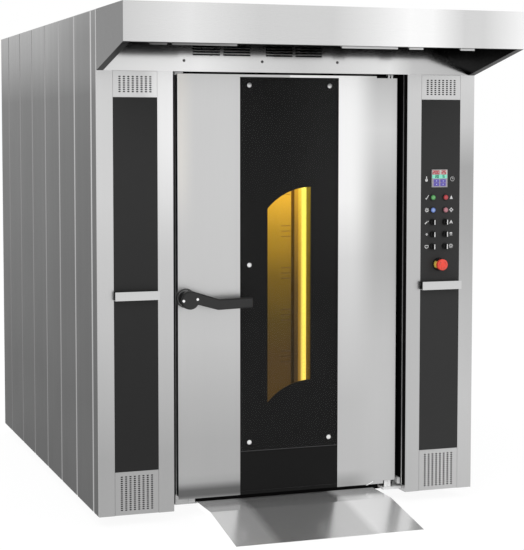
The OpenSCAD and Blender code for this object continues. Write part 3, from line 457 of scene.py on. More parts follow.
def camera_and_studio(settings):
    """Camera at the photograph's place, pale floor, plain soft light."""
    scene = bpy.context.scene
    scene.view_settings.view_transform = "Standard"
    focal_px = 1549.6
    long_side_px = 550
    principal_rise_px = 36
    data = bpy.data.cameras.new("studio_camera")
    data.sensor_width = 36
    data.lens = focal_px / long_side_px * data.sensor_width
    data.shift_y = -principal_rise_px / long_side_px
    data.clip_end = 100
    camera = bpy.data.objects.new("studio_camera", data)
    camera.location = (-2.4896, -7.6137, 1.7638)
    yaw, pitch, roll = 0.3376, -0.0685, 0.0005
    camera.rotation_euler = (Matrix.Rotation(-yaw, 3, "Z") @ Matrix.Rotation(math.pi / 2 + pitch, 3, "X")
                             @ Matrix.Rotation(roll, 3, "Z")).to_euler()
    scene.collection.objects.link(camera)
    scene.camera = camera
    white_room(scene, settings.room_light)

    floor_mesh = bmesh.new()
    bmesh.ops.create_grid(floor_mesh, x_segments=1, y_segments=1, size=30)
    data = bpy.data.meshes.new("floor")
    floor_mesh.to_mesh(data)
    floor_mesh.free()
    floor = bpy.data.objects.new("floor", data)
    scene.collection.objects.link(floor)
    data.materials.append(floor_material())

    lamps = [("key", (-3.0, -6.0, 5.5), settings.key_light),
             ("fill", (4.5, -5.0, 4.0), settings.key_light * 0.6),
             ("rear", (-5.0, 4.0, 5.0), settings.key_light * 0.5)]
    for name, spot, power in lamps:
        lamp = bpy.data.lights.new(name, "AREA")
        lamp.shape = "SQUARE"
        lamp.size = 4
        lamp.energy = power
        made = bpy.data.objects.new(name, lamp)
        made.location = spot
        made.rotation_euler = (Vector((0, 0, 1.1)) - Vector(spot)).to_track_quat("-Z", "Y").to_euler()
        made.visible_glossy = False
        scene.collection.objects.link(made)


def white_room(scene, strength):
    """World: plain light on the object, white wherever the camera, metal or glass sees it."""
    world = bpy.data.worlds.new("studio")
    scene.world = world
    world.use_nodes = True
    room = Nodes(world.node_tree, "ShaderNodeOutputWorld")
    seen = room.node("ShaderNodeMath", {"operation": "MAXIMUM"}, room.ray("Camera"), room.ray("Transmission"))
    seen = room.node("ShaderNodeMath", {"operation": "MAXIMUM"}, seen, room.ray("Glossy"))
    plain = room.node("ShaderNodeBackground", None, Strength=strength)
    white = room.node("ShaderNodeBackground", None, Color=(1, 1, 1))
    room.show(room.node("ShaderNodeMixShader", None, seen, plain, white))


def floor_material():
    """Pale floor that shows as the white background and keeps a faint shadow."""
    floor = Surface("studio_floor")
    seen = floor.node("ShaderNodeMath", {"operation": "MAXIMUM"}, floor.ray("Camera"), floor.ray("Glossy"))
    lit = floor.node("ShaderNodeBsdfDiffuse", None, Color=(0.8, 0.8, 0.8))
    pale = floor.node("ShaderNodeBsdfDiffuse", None, Color=(0.12, 0.12, 0.12))
    glow = floor.node("ShaderNodeEmission", None, Color=(1, 1, 1), Strength=0.93)
    shown = floor.node("ShaderNodeAddShader", None, pale, glow)
    floor.show(floor.node("ShaderNodeMixShader", None, seen, lit, shown))
    return floor.material


# ---------- finishes ----------


def inside_box(surface, low, high, skin=0.0008):
    """1 where the surface lies within the box and not on its front, sides or top."""
    x, y, z = surface.axis("X"), surface.axis("Y"), surface.axis("Z")
    return (y > low.y + skin) * (x * x < (high.x - skin) ** 2) * (z < high.z - skin)


def flank_tone(steel):
    """Folded flank: deeper towards the floor, lighter under the roof, pale fold lines."""
    y, z = steel.axis("Y"), steel.axis("Z")
    # painted light and shade by height and near the front
    base = steel.tones(z, (0.05, 86), (0.55, 95), (0.85, 107), (1.3, 119), (1.67, 127), (1.93, 136),
                       (2.15, 186), (2.3, 205))
    front = steel.fade(y, 0.4, -0.9)
    low = steel.fade(z, 1.1, 0.2)
    high = steel.fade(z, 1.95, 2.2)
    streaks = 0.9 + 0.2 * steel.noise((1.0, 26.0, 0.25), detail=2.0)
    base = steel.scaled(base, streaks * (1 + front * (0.32 * low - 0.3 * high - 0.08)))
    nx, ny = steel.facing("X"), steel.facing("Y")
    fold = (nx * nx < 0.93) * (ny * ny < 0.93)
    # painted highlight along the folds, dimmer towards the floor
    fold_highlight = steel.tones(y, (-0.92, 205), (-0.7, 205), (-0.4, 182), (0.0, 166), (0.35, 155), (1.45, 140))
    fold_highlight = steel.scaled(fold_highlight, steel.fade(z, 0.3, 1.9, 0.72, 1.0))
    return steel.blend(fold, base, fold_highlight)


def column_tone(steel):
    """Front columns: pale at the top, deeper at the foot."""
    x, z = steel.axis("X"), steel.axis("Z")
    left = steel.tones(z, (0.1, 168), (0.31, 168), (0.58, 182), (0.89, 196), (1.2, 203), (1.47, 212),
                       (2.04, 214))
    right = steel.tones(z, (0.1, 184), (0.49, 187), (0.95, 190), (1.3, 195), (1.65, 203), (1.95, 212),
                        (2.04, 210))
    # painted highlight on the left column's inner part, high up
    limb = steel.fade(x, -0.72, -0.62) * steel.fade(z, 1.15, 1.8)
    left = steel.scaled(left, 1 + 0.34 * limb)
    outer = steel.tones(z, (0.1, 191), (0.49, 197), (0.95, 190), (1.3, 178), (1.6, 172), (1.8, 204),
                        (2.04, 216))
    right = steel.blend(steel.fade(x, 0.62, 0.86), right, outer)
    return steel.blend(x > 0, left, right)


def hood_tone(steel):
    """Hood: soft light bands along the fascia, greyer cheeks, a dark inside."""
    x, y = steel.axis("X"), steel.axis("Y")
    fascia = steel.tones(x, (-0.92, 209), (-0.64, 232), (-0.33, 211), (0.0, 212), (0.18, 232), (0.36, 254),
                         (0.47, 252), (0.625, 215), (0.72, 216), (0.92, 250))
    # painted shade on the cheeks
    outer = steel.blend(y < HOOD_LOW.y + 0.0012, grey(148), fascia)
    # painted shade inside the hood
    return steel.blend(inside_box(steel, HOOD_LOW, HOOD_HIGH), outer, grey(52))


def header_tone(steel):
    """Header panel: a light face with soft bands, dark behind the face."""
    x = steel.axis("X")
    face = steel.tones(x, (-0.92, 210), (-0.45, 236), (-0.2, 212), (0.05, 203), (0.48, 228), (0.6, 196),
                       (0.92, 180))
    # painted shade under the hood
    face = steel.scaled(face, steel.fade(steel.axis("Z"), 2.098, 2.125, 1.0, 0.75))
    # painted dark shade behind the face
    return steel.blend(steel.axis("Y") > FACE_Y + 0.0012, face, grey(12))


def leaf_tone(steel):
    """Door skin: paler towards the top, the right sheet brightest beside the glass."""
    x, z = steel.axis("X"), steel.axis("Z")
    # painted light and reflections by height
    left = steel.tones(z, (0.092, 142), (0.103, 100), (0.132, 101), (0.166, 165), (0.2, 174), (0.36, 174),
                       (0.54, 182), (0.82, 197), (1.46, 206), (1.8, 210), (2.03, 216))
    # painted warm reflection near the left sheet's inner edge
    edge = steel.fade(x, -0.45, -0.53) * steel.fade(z, 1.25, 1.65)
    left = steel.blend(edge, left, (0.74, 0.725, 0.695))
    right = steel.tones(z, (0.106, 190), (0.49, 195), (0.78, 196), (1.16, 185), (1.45, 190), (1.78, 218),
                        (2.03, 203))
    # painted highlight beside the glass
    bright = steel.tones(z, (0.106, 158), (0.13, 166), (0.17, 190), (0.5, 191), (0.79, 204), (1.17, 219),
                         (1.45, 247), (2.03, 255))
    right = steel.blend(steel.fade(x, 0.45, 0.3), right, bright)
    # painted shade of a notch in the leaf's top
    notch_shade = (x > 0.434) * (z > LEAF_HIGH.z - 0.0092)
    right = steel.blend(notch_shade, right, grey(10))
    return steel.blend(x > 0, left, right)


def grille_tone(steel):
    """Vent grilles: the columns' tone, with dark burnt edges round the laser-cut slots."""
    x, z = steel.node("ShaderNodeMath", {"operation": "ABSOLUTE"}, steel.axis("X")), steel.axis("Z")
    centre = (STRIP_HIGH.x + PANEL_LOW.x) / 2
    shade_reach_x, shade_reach_z = 0.0052, 0.0025

    def near(value, line, pitch, reach):
        """1 within reach of a line or of any other at whole pitches from it."""
        away = steel.node("ShaderNodeMath", {"operation": "PINGPONG"}, value - (line - 50 * pitch), pitch / 2)
        return away < reach

    def within(value, line, reach):
        """1 on both sides of a line as far as the reach."""
        return (value - line) * (value - line) < reach ** 2

    # painted shade bands round each slot
    across = near(x, centre + SLOT_PITCH_X / 2, SLOT_PITCH_X, shade_reach_x) * within(x, centre, 0.0755)
    lower = near(z, LOWER_VENT_Z, SLOT_PITCH_Z, shade_reach_z) * within(z, LOWER_VENT_Z, 0.0785)
    upper = near(z, UPPER_VENT_Z + SLOT_PITCH_Z / 2, SLOT_PITCH_Z, shade_reach_z) * within(z, UPPER_VENT_Z, 0.0365)
    return steel.blend(across * (lower + upper), column_tone(steel), grey(112))


def jamb_tone(steel):
    """Jamb: steel at the foot on the left, soot-dark where the door's gap shades it."""
    x, z = steel.axis("X"), steel.axis("Z")
    lit = (z < 0.099) * (x < 0.3)
    # painted shade in the door's gap
    return steel.blend(lit, grey(12), grey(172))


def steel_casing(settings):
    """Steel of the casing, the door, the threshold and the ramp."""
    dress(brushed("flank_steel", flank_tone, "Z", 0.34, 0.03).set(specular_tint=DULL_EDGE),
          "side_cladding", "rear_cladding")
    dress(brushed("roof_steel", 175, "Y", 0.34), "roof_panel")
    dress(brushed("column_steel", column_tone, "Z", 0.3, 0.02), "left_column", "right_column")
    dress(brushed("grille_steel", grille_tone, "Z", 0.3, 0.02), "vent_grilles")
    dress(brushed("header_steel", header_tone, "X", 0.12, 0.02, depth=0.00001), "header_panel")
    dress(brushed("hood_steel", hood_tone, "X", 0.26, 0.015).set(specular_tint=DULL_EDGE), "hood_shell")
    dress(brushed("strap_steel", 208, "X", 0.3), "grip_straps")
    dress(brushed("leaf_steel", leaf_tone, "Z", 0.32, 0.015, 0.94), "door_skin")
    ramp = brushed("ramp_steel", 251, "Y", 0.2, 0.02, 0.86, 0.00001)
    # painted reflection as a glow: bright at the sides, dim in the middle
    painted_reflection = ramp.tones(ramp.axis("X"), (-0.44, 112), (-0.27, 106), (-0.22, 46), (0.19, 46), (0.235, 126),
                      (0.44, 116))
    ramp.set(emission_color=painted_reflection, emission_strength=1.0)
    dress(ramp, "threshold_plate", "ramp_plate")
    dress(brushed("jamb_steel", jamb_tone, "Z", 0.35), "door_jamb")
    dress(brushed("liner_steel", 185, "Z", 0.35), "door_liner")
    # near-white with little metal: painted light that lifts the fittings out of the shade at the door's foot
    dress(brushed("fitting_steel", 248, "X", 0.4, metallic=0.15), "door_fittings")
    dress(polished("pivot_steel", 0.75, 0.2), "door_pivots", "latch_cam")
    soften(0.0012, "left_column", "right_column", "hood_shell", "door_skin", "threshold_plate", "ramp_plate",
           "grip_straps", "door_fittings", "roof_panel")


def frame_and_works(settings):
    """Finishes of the frame, the drives and the insulation."""
    def heat_tone(steel):
        """The tubes are browned by heat and darkest at the foot."""
        return steel.tones(steel.axis("Z"), (0.3, (0.12, 0.1, 0.09)), (0.9, (0.34, 0.2, 0.1)),
                           (1.6, (0.4, 0.3, 0.16)))

    bars = ("base_rails", "base_crossmembers", "frame_posts", "body_rails")
    dress(brushed("frame_steel", 145, "Z", 0.45), *bars)
    dress(polished("foot_steel", 0.5, 0.35), "levelling_feet")
    dress(coated("mineral_wool", (0.45, 0.38, 0.16), 0.95, 0.1, 0.002), "insulation", "door_core")
    dress(brushed("exchanger_steel", heat_tone, "Z", 0.45), "heat_exchanger")
    dress(coated("motor_paint", (0.07, 0.1, 0.14), 0.4, 0.5), "roof_motors")
    dress(coated("bearing_iron", (0.05, 0.05, 0.05), 0.7, 0.3, 0.0002), "turntable_bearing")
    dress(brushed("duct_steel", 170, "Z", 0.35), "roof_outlets", "steam_generator")
    soften(0.002, *bars)


def chamber(settings):
    """The lit chamber seen through the window."""
    glow = settings.chamber_light
    # painted light: the diffuser wall glows, brightest near the top, only where it faces the door
    back = Surface("diffuser_gold", metallic=0.3, emission_strength=glow)
    tone = back.tones(back.axis("Z"), (0.5, (0.085, 0.05, 0.016)), (0.7, (0.1, 0.065, 0.014)),
                      (0.95, (0.2, 0.12, 0.013)), (1.2, (0.5, 0.29, 0.022)), (1.4, (0.95, 0.54, 0.045)),
                      (1.6, (1.0, 0.66, 0.08)))
    tone = back.scaled(tone, 0.95 + 0.1 * back.noise((30.0, 30.0, 2.0)))
    lit = back.scaled(tone, back.facing("Y") < -0.5)
    back.set(base_color=back.scaled(tone, 0.3), emission_color=lit, roughness=0.4 + 0.1 * back.noise(30.0))
    dress(back, "diffuser_wall")
    # painted light: the side walls glow, brighter towards the top and towards the back
    side = Surface("wall_gold", metallic=0.3, emission_strength=glow)
    behind = side.tones(side.axis("Z"), (0.5, (0.07, 0.042, 0.016)), (0.9, (0.13, 0.075, 0.016)),
                        (1.25, (0.4, 0.22, 0.025)), (1.45, (0.75, 0.42, 0.035)), (1.6, (1.0, 0.6, 0.06)))
    ahead = side.tones(side.axis("Z"), (0.5, (0.055, 0.028, 0.004)), (1.0, (0.085, 0.055, 0.004)),
                       (1.5, (0.17, 0.125, 0.01)))
    tone = side.blend(side.fade(side.axis("Y"), 0.40, 0.45), ahead, behind)
    side.set(base_color=side.scaled(tone, 0.3), emission_color=tone, roughness=0.4 + 0.1 * side.noise(30.0))
    dress(side, "chamber_walls")

    def lamp_tone(lit):
        """Brightest along the lamp's front edge, a deeper gold towards the back."""
        core = lit.fade(lit.axis("Y"), 0.478, 0.44)
        ribs = 0.93 + 0.07 * lit.noise((1.0, 90.0, 1.0))
        low = lit.tones(lit.axis("Z"), (0.3, (0.3, 0.17, 0.03)), (0.9, (0.4, 0.24, 0.03)),
                        (1.25, (0.62, 0.4, 0.04)), (1.7, (1.0, 0.85, 0.1)))
        high = lit.tones(lit.axis("Z"), (0.3, (1.0, 0.75, 0.16)), (1.2, (1.0, 0.88, 0.16)),
                         (1.7, (1.0, 0.95, 0.2)))
        return lit.scaled(lit.blend(core, low, high), ribs)

    dress(glowing("lamp_glow", lamp_tone, 1.25), "lamp_cover")
    dress(brushed("works_steel", 160, "Y", 0.4), "turntable", "rack_hook", "circulation_fan", "chamber_floor")


def black_panels(settings):
    """Black enamelled panels, glass, rubber and lever."""
    enamel = tuple(settings.panel_colour)

    def enamel_tone(paint):
        """The left column's panels deepen towards the floor."""
        left = paint.scaled(enamel, paint.fade(paint.axis("Z"), 0.25, 1.9, 0.4, 0.92))
        return paint.blend(paint.axis("X") > 0, left, enamel)

    def mask_tone(paint):
        """The mask behind the glass is palest at its upper right."""
        right = paint.fade(paint.axis("X"), -0.1, 0.24) * paint.fade(paint.axis("Z"), 0.95, 1.6)
        return paint.blend(right, paint.tones(paint.axis("Z"), (0.3, 22), (1.0, 23), (1.5, 28)), grey(42))

    dress(coated("black_enamel", enamel_tone, 0.45, 0.25), "dark_panels", "control_panel")
    dress(coated("kick_enamel", grey(16), 0.35, 0.12), "kick_panel")
    dress(coated("mask_enamel", mask_tone, 0.4, 0.2), "window_mask")
    dress(clear_glass("door_glazing", (0.005, 0.005, 0.005), 0.16).set(specular=0.16), "door_glass")
    dress(clear_glass("inner_glazing", (0.2, 0.2, 0.2), 0.03), "inner_glass")
    dress(coated("black_rubber", grey(9), 0.85, 0.1, 0.0002), "reveal_strips", "door_gasket")
    dress(moulded("strap_moulding", grey(4), 0.6, 0.1), "strap_ends")
    dress(moulded("lever_moulding", settings.lever_colour, 0.42, 0.35), "lever_handle")
    dress(brushed("screw_domes", 253, "X", 0.15, metallic=0.35, depth=0.00001), "glass_screws")
    soften(0.0015, "dark_panels", "control_panel", "kick_panel")
    soften(0.0006, "strap_ends")


def switches(settings):
    """Finishes of the control panel's switches and display."""
    dress(moulded("bezel_black", grey(20), 0.35, 0.4), "switch_bezels")
    dress(moulded("button_green", (0.06, 0.3, 0.08), 0.3, 0.4), "green_button")
    dress(moulded("button_red", (0.4, 0.03, 0.04), 0.3, 0.4), "red_button")
    dress(moulded("button_blue", (0.12, 0.2, 0.55), 0.3, 0.4), "blue_button")
    dress(moulded("button_pink", (0.42, 0.16, 0.19), 0.3, 0.4), "pink_button")
    dress(moulded("selector_black", grey(14), 0.35, 0.4), *["selector_%d" % i for i in range(1, 7)])
    dress(moulded("stop_red", settings.stop_colour, 0.35, 0.4), "estop_button")
    dress(moulded("display_frame", grey(165), 0.35, 0.4), "display_unit")
    soften(0.0008, "display_unit")


# ---------- front pieces ----------


def vent_filters(settings):
    """Pleated filter mats behind the four slotted grilles."""
    mat = coated("filter_fibre", settings.filter_colour, 0.95, 0.05, 0.0006)
    pitch, depth = settings.pleat_pitch, settings.pleat_depth
    skin, margin = 0.003, 0.012
    back_y = STRIP_HIGH.y - SHEET - 0.001
    lower = (STRIP_LOW.z + margin, DARK_LOW_Z - margin)
    upper = (PANEL_HIGH.z + margin, STRIP_HIGH.z - margin)
    form = Form()
    for low, high in (lower, upper):
        for side in (-1, 1):
            x0, x1 = sorted((side * (STRIP_HIGH.x - margin), side * (PANEL_LOW.x + margin)))
            count = int((high - low) / pitch)
            zigzag = [(back_y - skin - (i % 2) * depth, low + i * pitch) for i in range(count + 1)]
            form.beam(zigzag + [(y + skin, z) for y, z in reversed(zigzag)], x1, x0)
    form.place("vent_filters", "cabinet", "black_plastic", mat, smooth=False)


def header_screws(settings):
    """Three small dark screws across the header."""
    form = Form()
    for x, z in ((-0.520, 2.084), (-0.151, 2.084), (0.216, 2.086)):
        form.screw(at(x, FACE_Y, z), settings.header_screw_radius)
    form.place("header_screws", "cabinet", "screw_steel", polished("dark_screw_steel", 0.16, 0.3))


def hood_edge_bars(settings):
    """Stiffening bars along the inside of the fascia's lower edge."""
    def bar_tone(steel):
        """The bars brighten towards the right."""
        return steel.tones(steel.axis("X"), (-0.8, 100), (-0.7, 130), (-0.42, 170), (0.05, 225), (0.7, 225))

    sheet, shelf, drop = 0.002, 0.018, settings.hood_bar_drop
    angle = [(0, 0), (shelf, 0), (shelf, -sheet), (sheet, -sheet), (sheet, -drop), (0, -drop)]
    y = HOOD_LOW.y + 0.031
    form = Form()
    for x0, x1 in ((-0.80, -0.725), (-0.703, -0.42), (0.055, 0.318), (0.372, 0.44), (0.62, 0.69)):
        form.beam([(y + a, FASCIA_Z + b) for a, b in angle], x1, x0)
    steel = brushed("bar_steel", bar_tone, "X", 0.35)
    form.place("hood_edge_bars", "cabinet", "front_steel", steel, bevel=0.0004)


def display_parts(settings):
    """Panes, figures and keys of the display."""
    x0, z0 = SCREEN_LOW.x, SCREEN_LOW.z
    wide, high = SCREEN_HIGH.x - x0, SCREEN_HIGH.z - z0
    face = SCREEN_LOW.y
    key_columns = ((0.12, 0.46), (0.54, 0.88))

    def area(form, left, right, low, top, rise):
        """A pane with rounded corners, given in parts of the display's width and height."""
        a, b = x0 + left * wide, x0 + right * wide
        c, d = z0 + low * high, z0 + top * high
        radius = 0.0018
        outline = []
        for cx, cz, start in ((b - radius, d - radius, 0), (a + radius, d - radius, 90),
                              (a + radius, c + radius, 180), (b - radius, c + radius, 270)):
            for step in range(4):
                angle = math.radians(start + 30 * step)
                outline.append((cx + radius * math.cos(angle), cz + radius * math.sin(angle)))
        form.prism(outline, face - rise, face + 0.001)

    def figures(form, text, left, right, low, top, width):
        """Seven-segment figures across a pane."""
        lit = {"0": "abcdef", "2": "abged", "5": "afgcd"}
        step = (right - left) * wide / len(text)
        for index, figure in enumerate(text):
            cx = x0 + left * wide + (index + 0.5) * step
            cz = z0 + (low + top) / 2 * high
            hw, hh = step * 0.28, (top - low) * high / 2 - 0.001
            ends = {"a": ((-hw, hh), (hw, hh)), "b": ((hw, hh), (hw, 0)), "c": ((hw, 0), (hw, -hh)),
                    "d": ((-hw, -hh), (hw, -hh)), "e": ((-hw, 0), (-hw, -hh)), "f": ((-hw, hh), (-hw, 0)),
                    "g": ((-hw, 0), (hw, 0))}
            for name in lit[figure]:
                form.stroke([(cx + a, cz + b) for a, b in ends[name]], width, face - 0.0009, face)

    def put(form, name, surface):
        form.place(name, "cabinet", "display_plastic", surface)

    ground = Form()
    area(ground, 0.05, 0.95, 0.04, 0.96, 0.0003)
    put(ground, "display_ground", glowing("display_lilac", (0.32, 0.28, 0.36), 0.25))
    pale = Form()
    area(pale, 0.03, 0.97, 0.72, 0.98, 0.0006)
    put(pale, "display_pale_pane", glowing("pane_pale", (0.5, 0.46, 0.44), 0.3))
    upper = Form()
    figures(upper, "200", 0.03, 0.48, 0.74, 0.94, 0.004)
    figures(upper, "25", 0.6, 0.9, 0.74, 0.94, 0.004)
    put(upper, "display_red_figures", glowing("figure_red", settings.figure_colour, 0.2))
    mint = Form()
    area(mint, 0.03, 0.97, 0.5, 0.71, 0.0006)
    put(mint, "display_green_pane", glowing("pane_mint", settings.pane_colour, 0.4))
    lower = Form()
    figures(lower, "20", 0.2, 0.44, 0.53, 0.69, 0.0028)
    figures(lower, "5", 0.66, 0.82, 0.53, 0.69, 0.0028)
    put(lower, "display_green_figures", glowing("figure_green", (0.02, 0.2, 0.1), 0.2))
    keys = Form()
    for left, right in key_columns:
        area(keys, left, right, 0.27, 0.45, 0.0016)
        area(keys, left, right, 0.07, 0.25, 0.0016)
    put(keys, "display_keys", moulded("key_violet", settings.key_colour, 0.4, 0.3))
    arrows = Form()
    for left, right in key_columns:
        cx = x0 + (left + right) / 2 * wide
        for part, tip in ((0.36, 1), (0.16, -1)):
            cz = z0 + part * high
            foot = cz - 0.002 * tip
            arrows.prism([(cx - 0.003, foot), (cx + 0.003, foot), (cx, cz + 0.003 * tip)],
                         face - 0.0019, face - 0.0012)
    put(arrows, "display_key_arrows", glowing("arrow_pale", (0.6, 0.6, 0.9), 0.3))


def panel_signs(settings):
    """Small pale signs beside the switches: x, z in metres, offsets in millimetres."""
    form = Form()
    front, back = PANEL_LOW.y - 0.0004, PANEL_LOW.y + 0.0004
    circle = [(math.cos(math.tau * i / 16), math.sin(math.tau * i / 16)) for i in range(17)]
    left, right = 0.676, 0.8035
    display_z, top_button_z, low_button_z = 1.540, 1.458, 1.398
    selector_z = (1.341, 1.284, 1.226)

    def arc(x, z, radius, first=0, last=16, width=0.0022):
        form.stroke([(x + radius * a, z + radius * b) for a, b in circle[first:last + 1]], width, front, back)

    def lines(x, z, *points, width=0.0024):
        form.stroke([(x + a / 1000, z + b / 1000) for a, b in points], width, front, back)

    def shape(x, z, *points):
        form.prism([(x + a / 1000, z + b / 1000) for a, b in points], front, back)

    def teeth(x, z, inner, outer, count=8):
        for i in range(count):
            a, b = math.cos(math.tau * i / count), math.sin(math.tau * i / count)
            form.stroke([(x + inner * a, z + inner * b), (x + outer * a, z + outer * b)], 0.0028, front, back)

    # thermometer, check stroke, gear, wrench, star and damper
    shape(left - 0.003, display_z, *[(7 * a, 7 * b) for a, b in circle[:16]])
    lines(left - 0.003, display_z, (0, 6), (0, 15), width=0.005)
    lines(left, top_button_z, (-6, -4), (-4, -8), (8, 9), width=0.0032)
    arc(left, low_button_z, 0.006, width=0.0034)
    teeth(left, low_button_z, 0.0091, 0.0095)
    lines(left, selector_z[0], (-8, -7), (2, 2), width=0.005)
    arc(left + 0.004, selector_z[0] + 0.005, 0.0045, 9, 17, width=0.003)
    teeth(left, selector_z[1] - 0.001, 0.003, 0.005, 6)
    arc(left, selector_z[2], 0.0085, 8, 16, width=0.003)
    lines(left, selector_z[2], (-8, 4), (8, 4), width=0.003)
    # clock, triangle, lozenge gear, arrow head, shower and sun
    arc(right + 0.005, display_z + 0.005, 0.010, width=0.0015)
    lines(right + 0.005, display_z + 0.005, (0, 6), (0, 0), (5, 0), width=0.0015)
    shape(right, top_button_z, (-8, -8), (8, -8), (0, 9))
    arc(right, low_button_z, 0.006, width=0.0036)
    teeth(right, low_button_z, 0.0092, 0.0096, 4)
    shape(right, selector_z[0], (-9, -8), (-4, -8), (0, -2), (4, -8), (9, -8), (0, 10))
    shape(right, selector_z[1], (-8, 1), (-5, 7), (5, 7), (8, 1))
    for offset in (-4, 0, 4):
        lines(right, selector_z[1], (offset, -1), (offset * 1.3, -8), width=0.0018)
    arc(right, selector_z[2], 0.0055, width=0.002)
    teeth(right, selector_z[2], 0.008, 0.0094)
    sign = coated("sign_white", settings.sign_colour, 0.5, 0.3)
    form.place("panel_signs", "cabinet", "display_plastic", sign, smooth=False)


def selector_bars(settings):
    """A white pointer bar on each selector."""
    white = moulded("bar_white", settings.selector_bar_colour, 0.4, 0.3)
    half_w, half_l = settings.selector_bar_width / 2, settings.selector_bar_length / 2
    for index in range(1, 7):
        name = "selector_%d" % index
        spot, front = middle(name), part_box(name)[0].y
        form = Form()
        form.box((spot.x - half_w, front - 0.0005, spot.z - half_l),
                 (spot.x + half_w, front + 0.0006, spot.z + half_l))
        form.place("selector_bar_%d" % index, name, "selector_black", white, bevel=0.0002)


def button_lenses(settings):
    """Low domes in the push buttons."""
    radius = settings.lens_radius
    dome = [(radius, -0.0004), (radius, 0.0004), (radius - 0.001, 0.0008), (radius - 0.0033, 0.0011),
            (0, 0.0013)]
    for name in ("green", "red", "blue", "pink"):
        node = name + "_button"
        spot, front = middle(node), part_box(node)[0].y
        form = Form()
        form.lathe(at(spot.x, front, spot.z), dome)
        lens = moulded("lens_" + name, getattr(settings, "lens_" + name), 0.2, 0.6)
        form.place("button_lens_" + name, node, "button_" + name, lens)


def stop_button_parts(settings):
    """Collar and plate round the stop button, and the turning arcs on its head."""
    spot, front = middle("estop_button"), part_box("estop_button")[0].y
    radius, neck, depth = settings.collar_radius, 0.0166, 0.015
    form = Form()
    form.lathe(at(spot.x, PANEL_LOW.y - 0.003, spot.z),
               [(neck, 0), (radius, 0), (radius, depth - 0.003), (radius - 0.0012, depth), (neck, depth),
                (neck, 0)], 40)
    collar = moulded("collar_yellow", settings.collar_colour, 0.3, 0.5)
    # painted shade: the collar turns dark above and below the head
    rise = collar.axis("Z") - spot.z
    collar_shade = collar.fade(rise * rise, 0.012 ** 2, 0.018 ** 2)
    collar.set(base_color=collar.blend(collar_shade, settings.collar_colour, grey(20)))
    form.place("stop_collar", "cabinet", "display_plastic", collar)

    radius, hole = settings.stop_plate_radius, 0.021
    plate = [(hole, -0.0004), (radius, -0.0004), (radius - 0.0005, 0.0022), (hole, 0.0026), (hole, -0.0004)]
    form = Form()
    form.lathe(at(spot.x, PANEL_LOW.y, spot.z), plate, 40)
    form.place("stop_plate", "cabinet", "black_plastic", moulded("plate_black", grey(8), 0.5, 0.2))

    radius = 0.017
    form = Form()
    for turn in (0, 120, 240):
        angles = [math.radians(turn + step) for step in range(0, 71, 10)]
        points = [(spot.x + radius * math.cos(angle), spot.z + radius * math.sin(angle)) for angle in angles]
        form.stroke(points, 0.0022, front - 0.0003, front + 0.004)
    form.place("stop_arcs", "estop", "estop_red", moulded("stop_arc_red", (0.8, 0.16, 0.12), 0.4, 0.4))


# ---------- door pieces ----------


def glass_edges(settings):
    """Grey cut edges of the centre glass and the line over the kick panel."""
    form = Form()
    y0, y1 = GLASS_LOW.y - 0.0003, GLASS_LOW.y + 0.004
    x, low, high = GLASS_HIGH.x, GLASS_LOW.z, GLASS_HIGH.z
    for side in (-x, x):
        form.stroke([(side, low), (side, high)], 0.0012, y0, y1)
    form.stroke([(-x, low), (x, low)], 0.0022, y0, y1)
    form.place("glass_edges", "door", "door_glass", coated("glass_edge_grey", grey(66), 0.25, 0.5))


def liner_parts(settings):
    """Frame of the inner glass and the screws of the door's inner pan."""
    margin = 0.006
    left, right = INNER_LOW.x - margin, INNER_HIGH.x + margin
    bottom, top = INNER_LOW.z - margin, INNER_HIGH.z + margin
    back = LINER_Y + 0.0025
    form = Form()
    for ends in ([(left, bottom), (right, bottom)], [(left, top), (right, top)],
                 [(left, bottom), (left, top)], [(right, bottom), (right, top)]):
        form.stroke(ends, settings.glass_frame_width, LINER_Y - 0.0005, back)
    steel = brushed("glass_frame_steel", 175, "Z", 0.3)
    form.place("inner_glass_frame", "door", "jamb_steel", steel, bevel=0.0006)
    radius = settings.liner_screw_radius
    form = Form()
    for x in (left, right):
        for i in range(5):
            form.screw(at(x, back, bottom + (top - bottom) * (0.04 + 0.23 * i), BACKWARD), radius)
    for x in (LEAF_LOW.x + 0.02, LEAF_HIGH.x - 0.02):
        for i in range(8):
            z = LEAF_LOW.z + 0.06 + i * (LEAF_HIGH.z - LEAF_LOW.z - 0.12) / 7
            form.screw(at(x, LINER_Y, z, BACKWARD), radius)
    form.place("liner_screws", "door", "screw_steel", polished("liner_screw_steel", 0.7, 0.2))


def leaf_lips(settings):
    """Lips that carry the leaf's face down to its lower edge."""
    low = LEAF_LOW.z - settings.lip_drop
    front, back = LEAF_LOW.y, LEAF_LOW.y + SHEET
    steel = Form()
    steel.box((LEAF_LOW.x, front, low), (GLASS_LOW.x, back, LEAF_LOW.z + 0.0002))
    steel.box((GLASS_HIGH.x, front, low), (0.478, back, LEAF_LOW.z + 0.0002))
    steel.place("leaf_lip", "door", "front_steel", finished("leaf_steel"), smooth=False)
    dark = Form()
    dark.box((GLASS_LOW.x, front - 0.0004, low), (GLASS_HIGH.x, back, LEAF_LOW.z + 0.0019))
    dark.place("leaf_lip_middle", "door", "black_panel", finished("kick_enamel"), smooth=False)


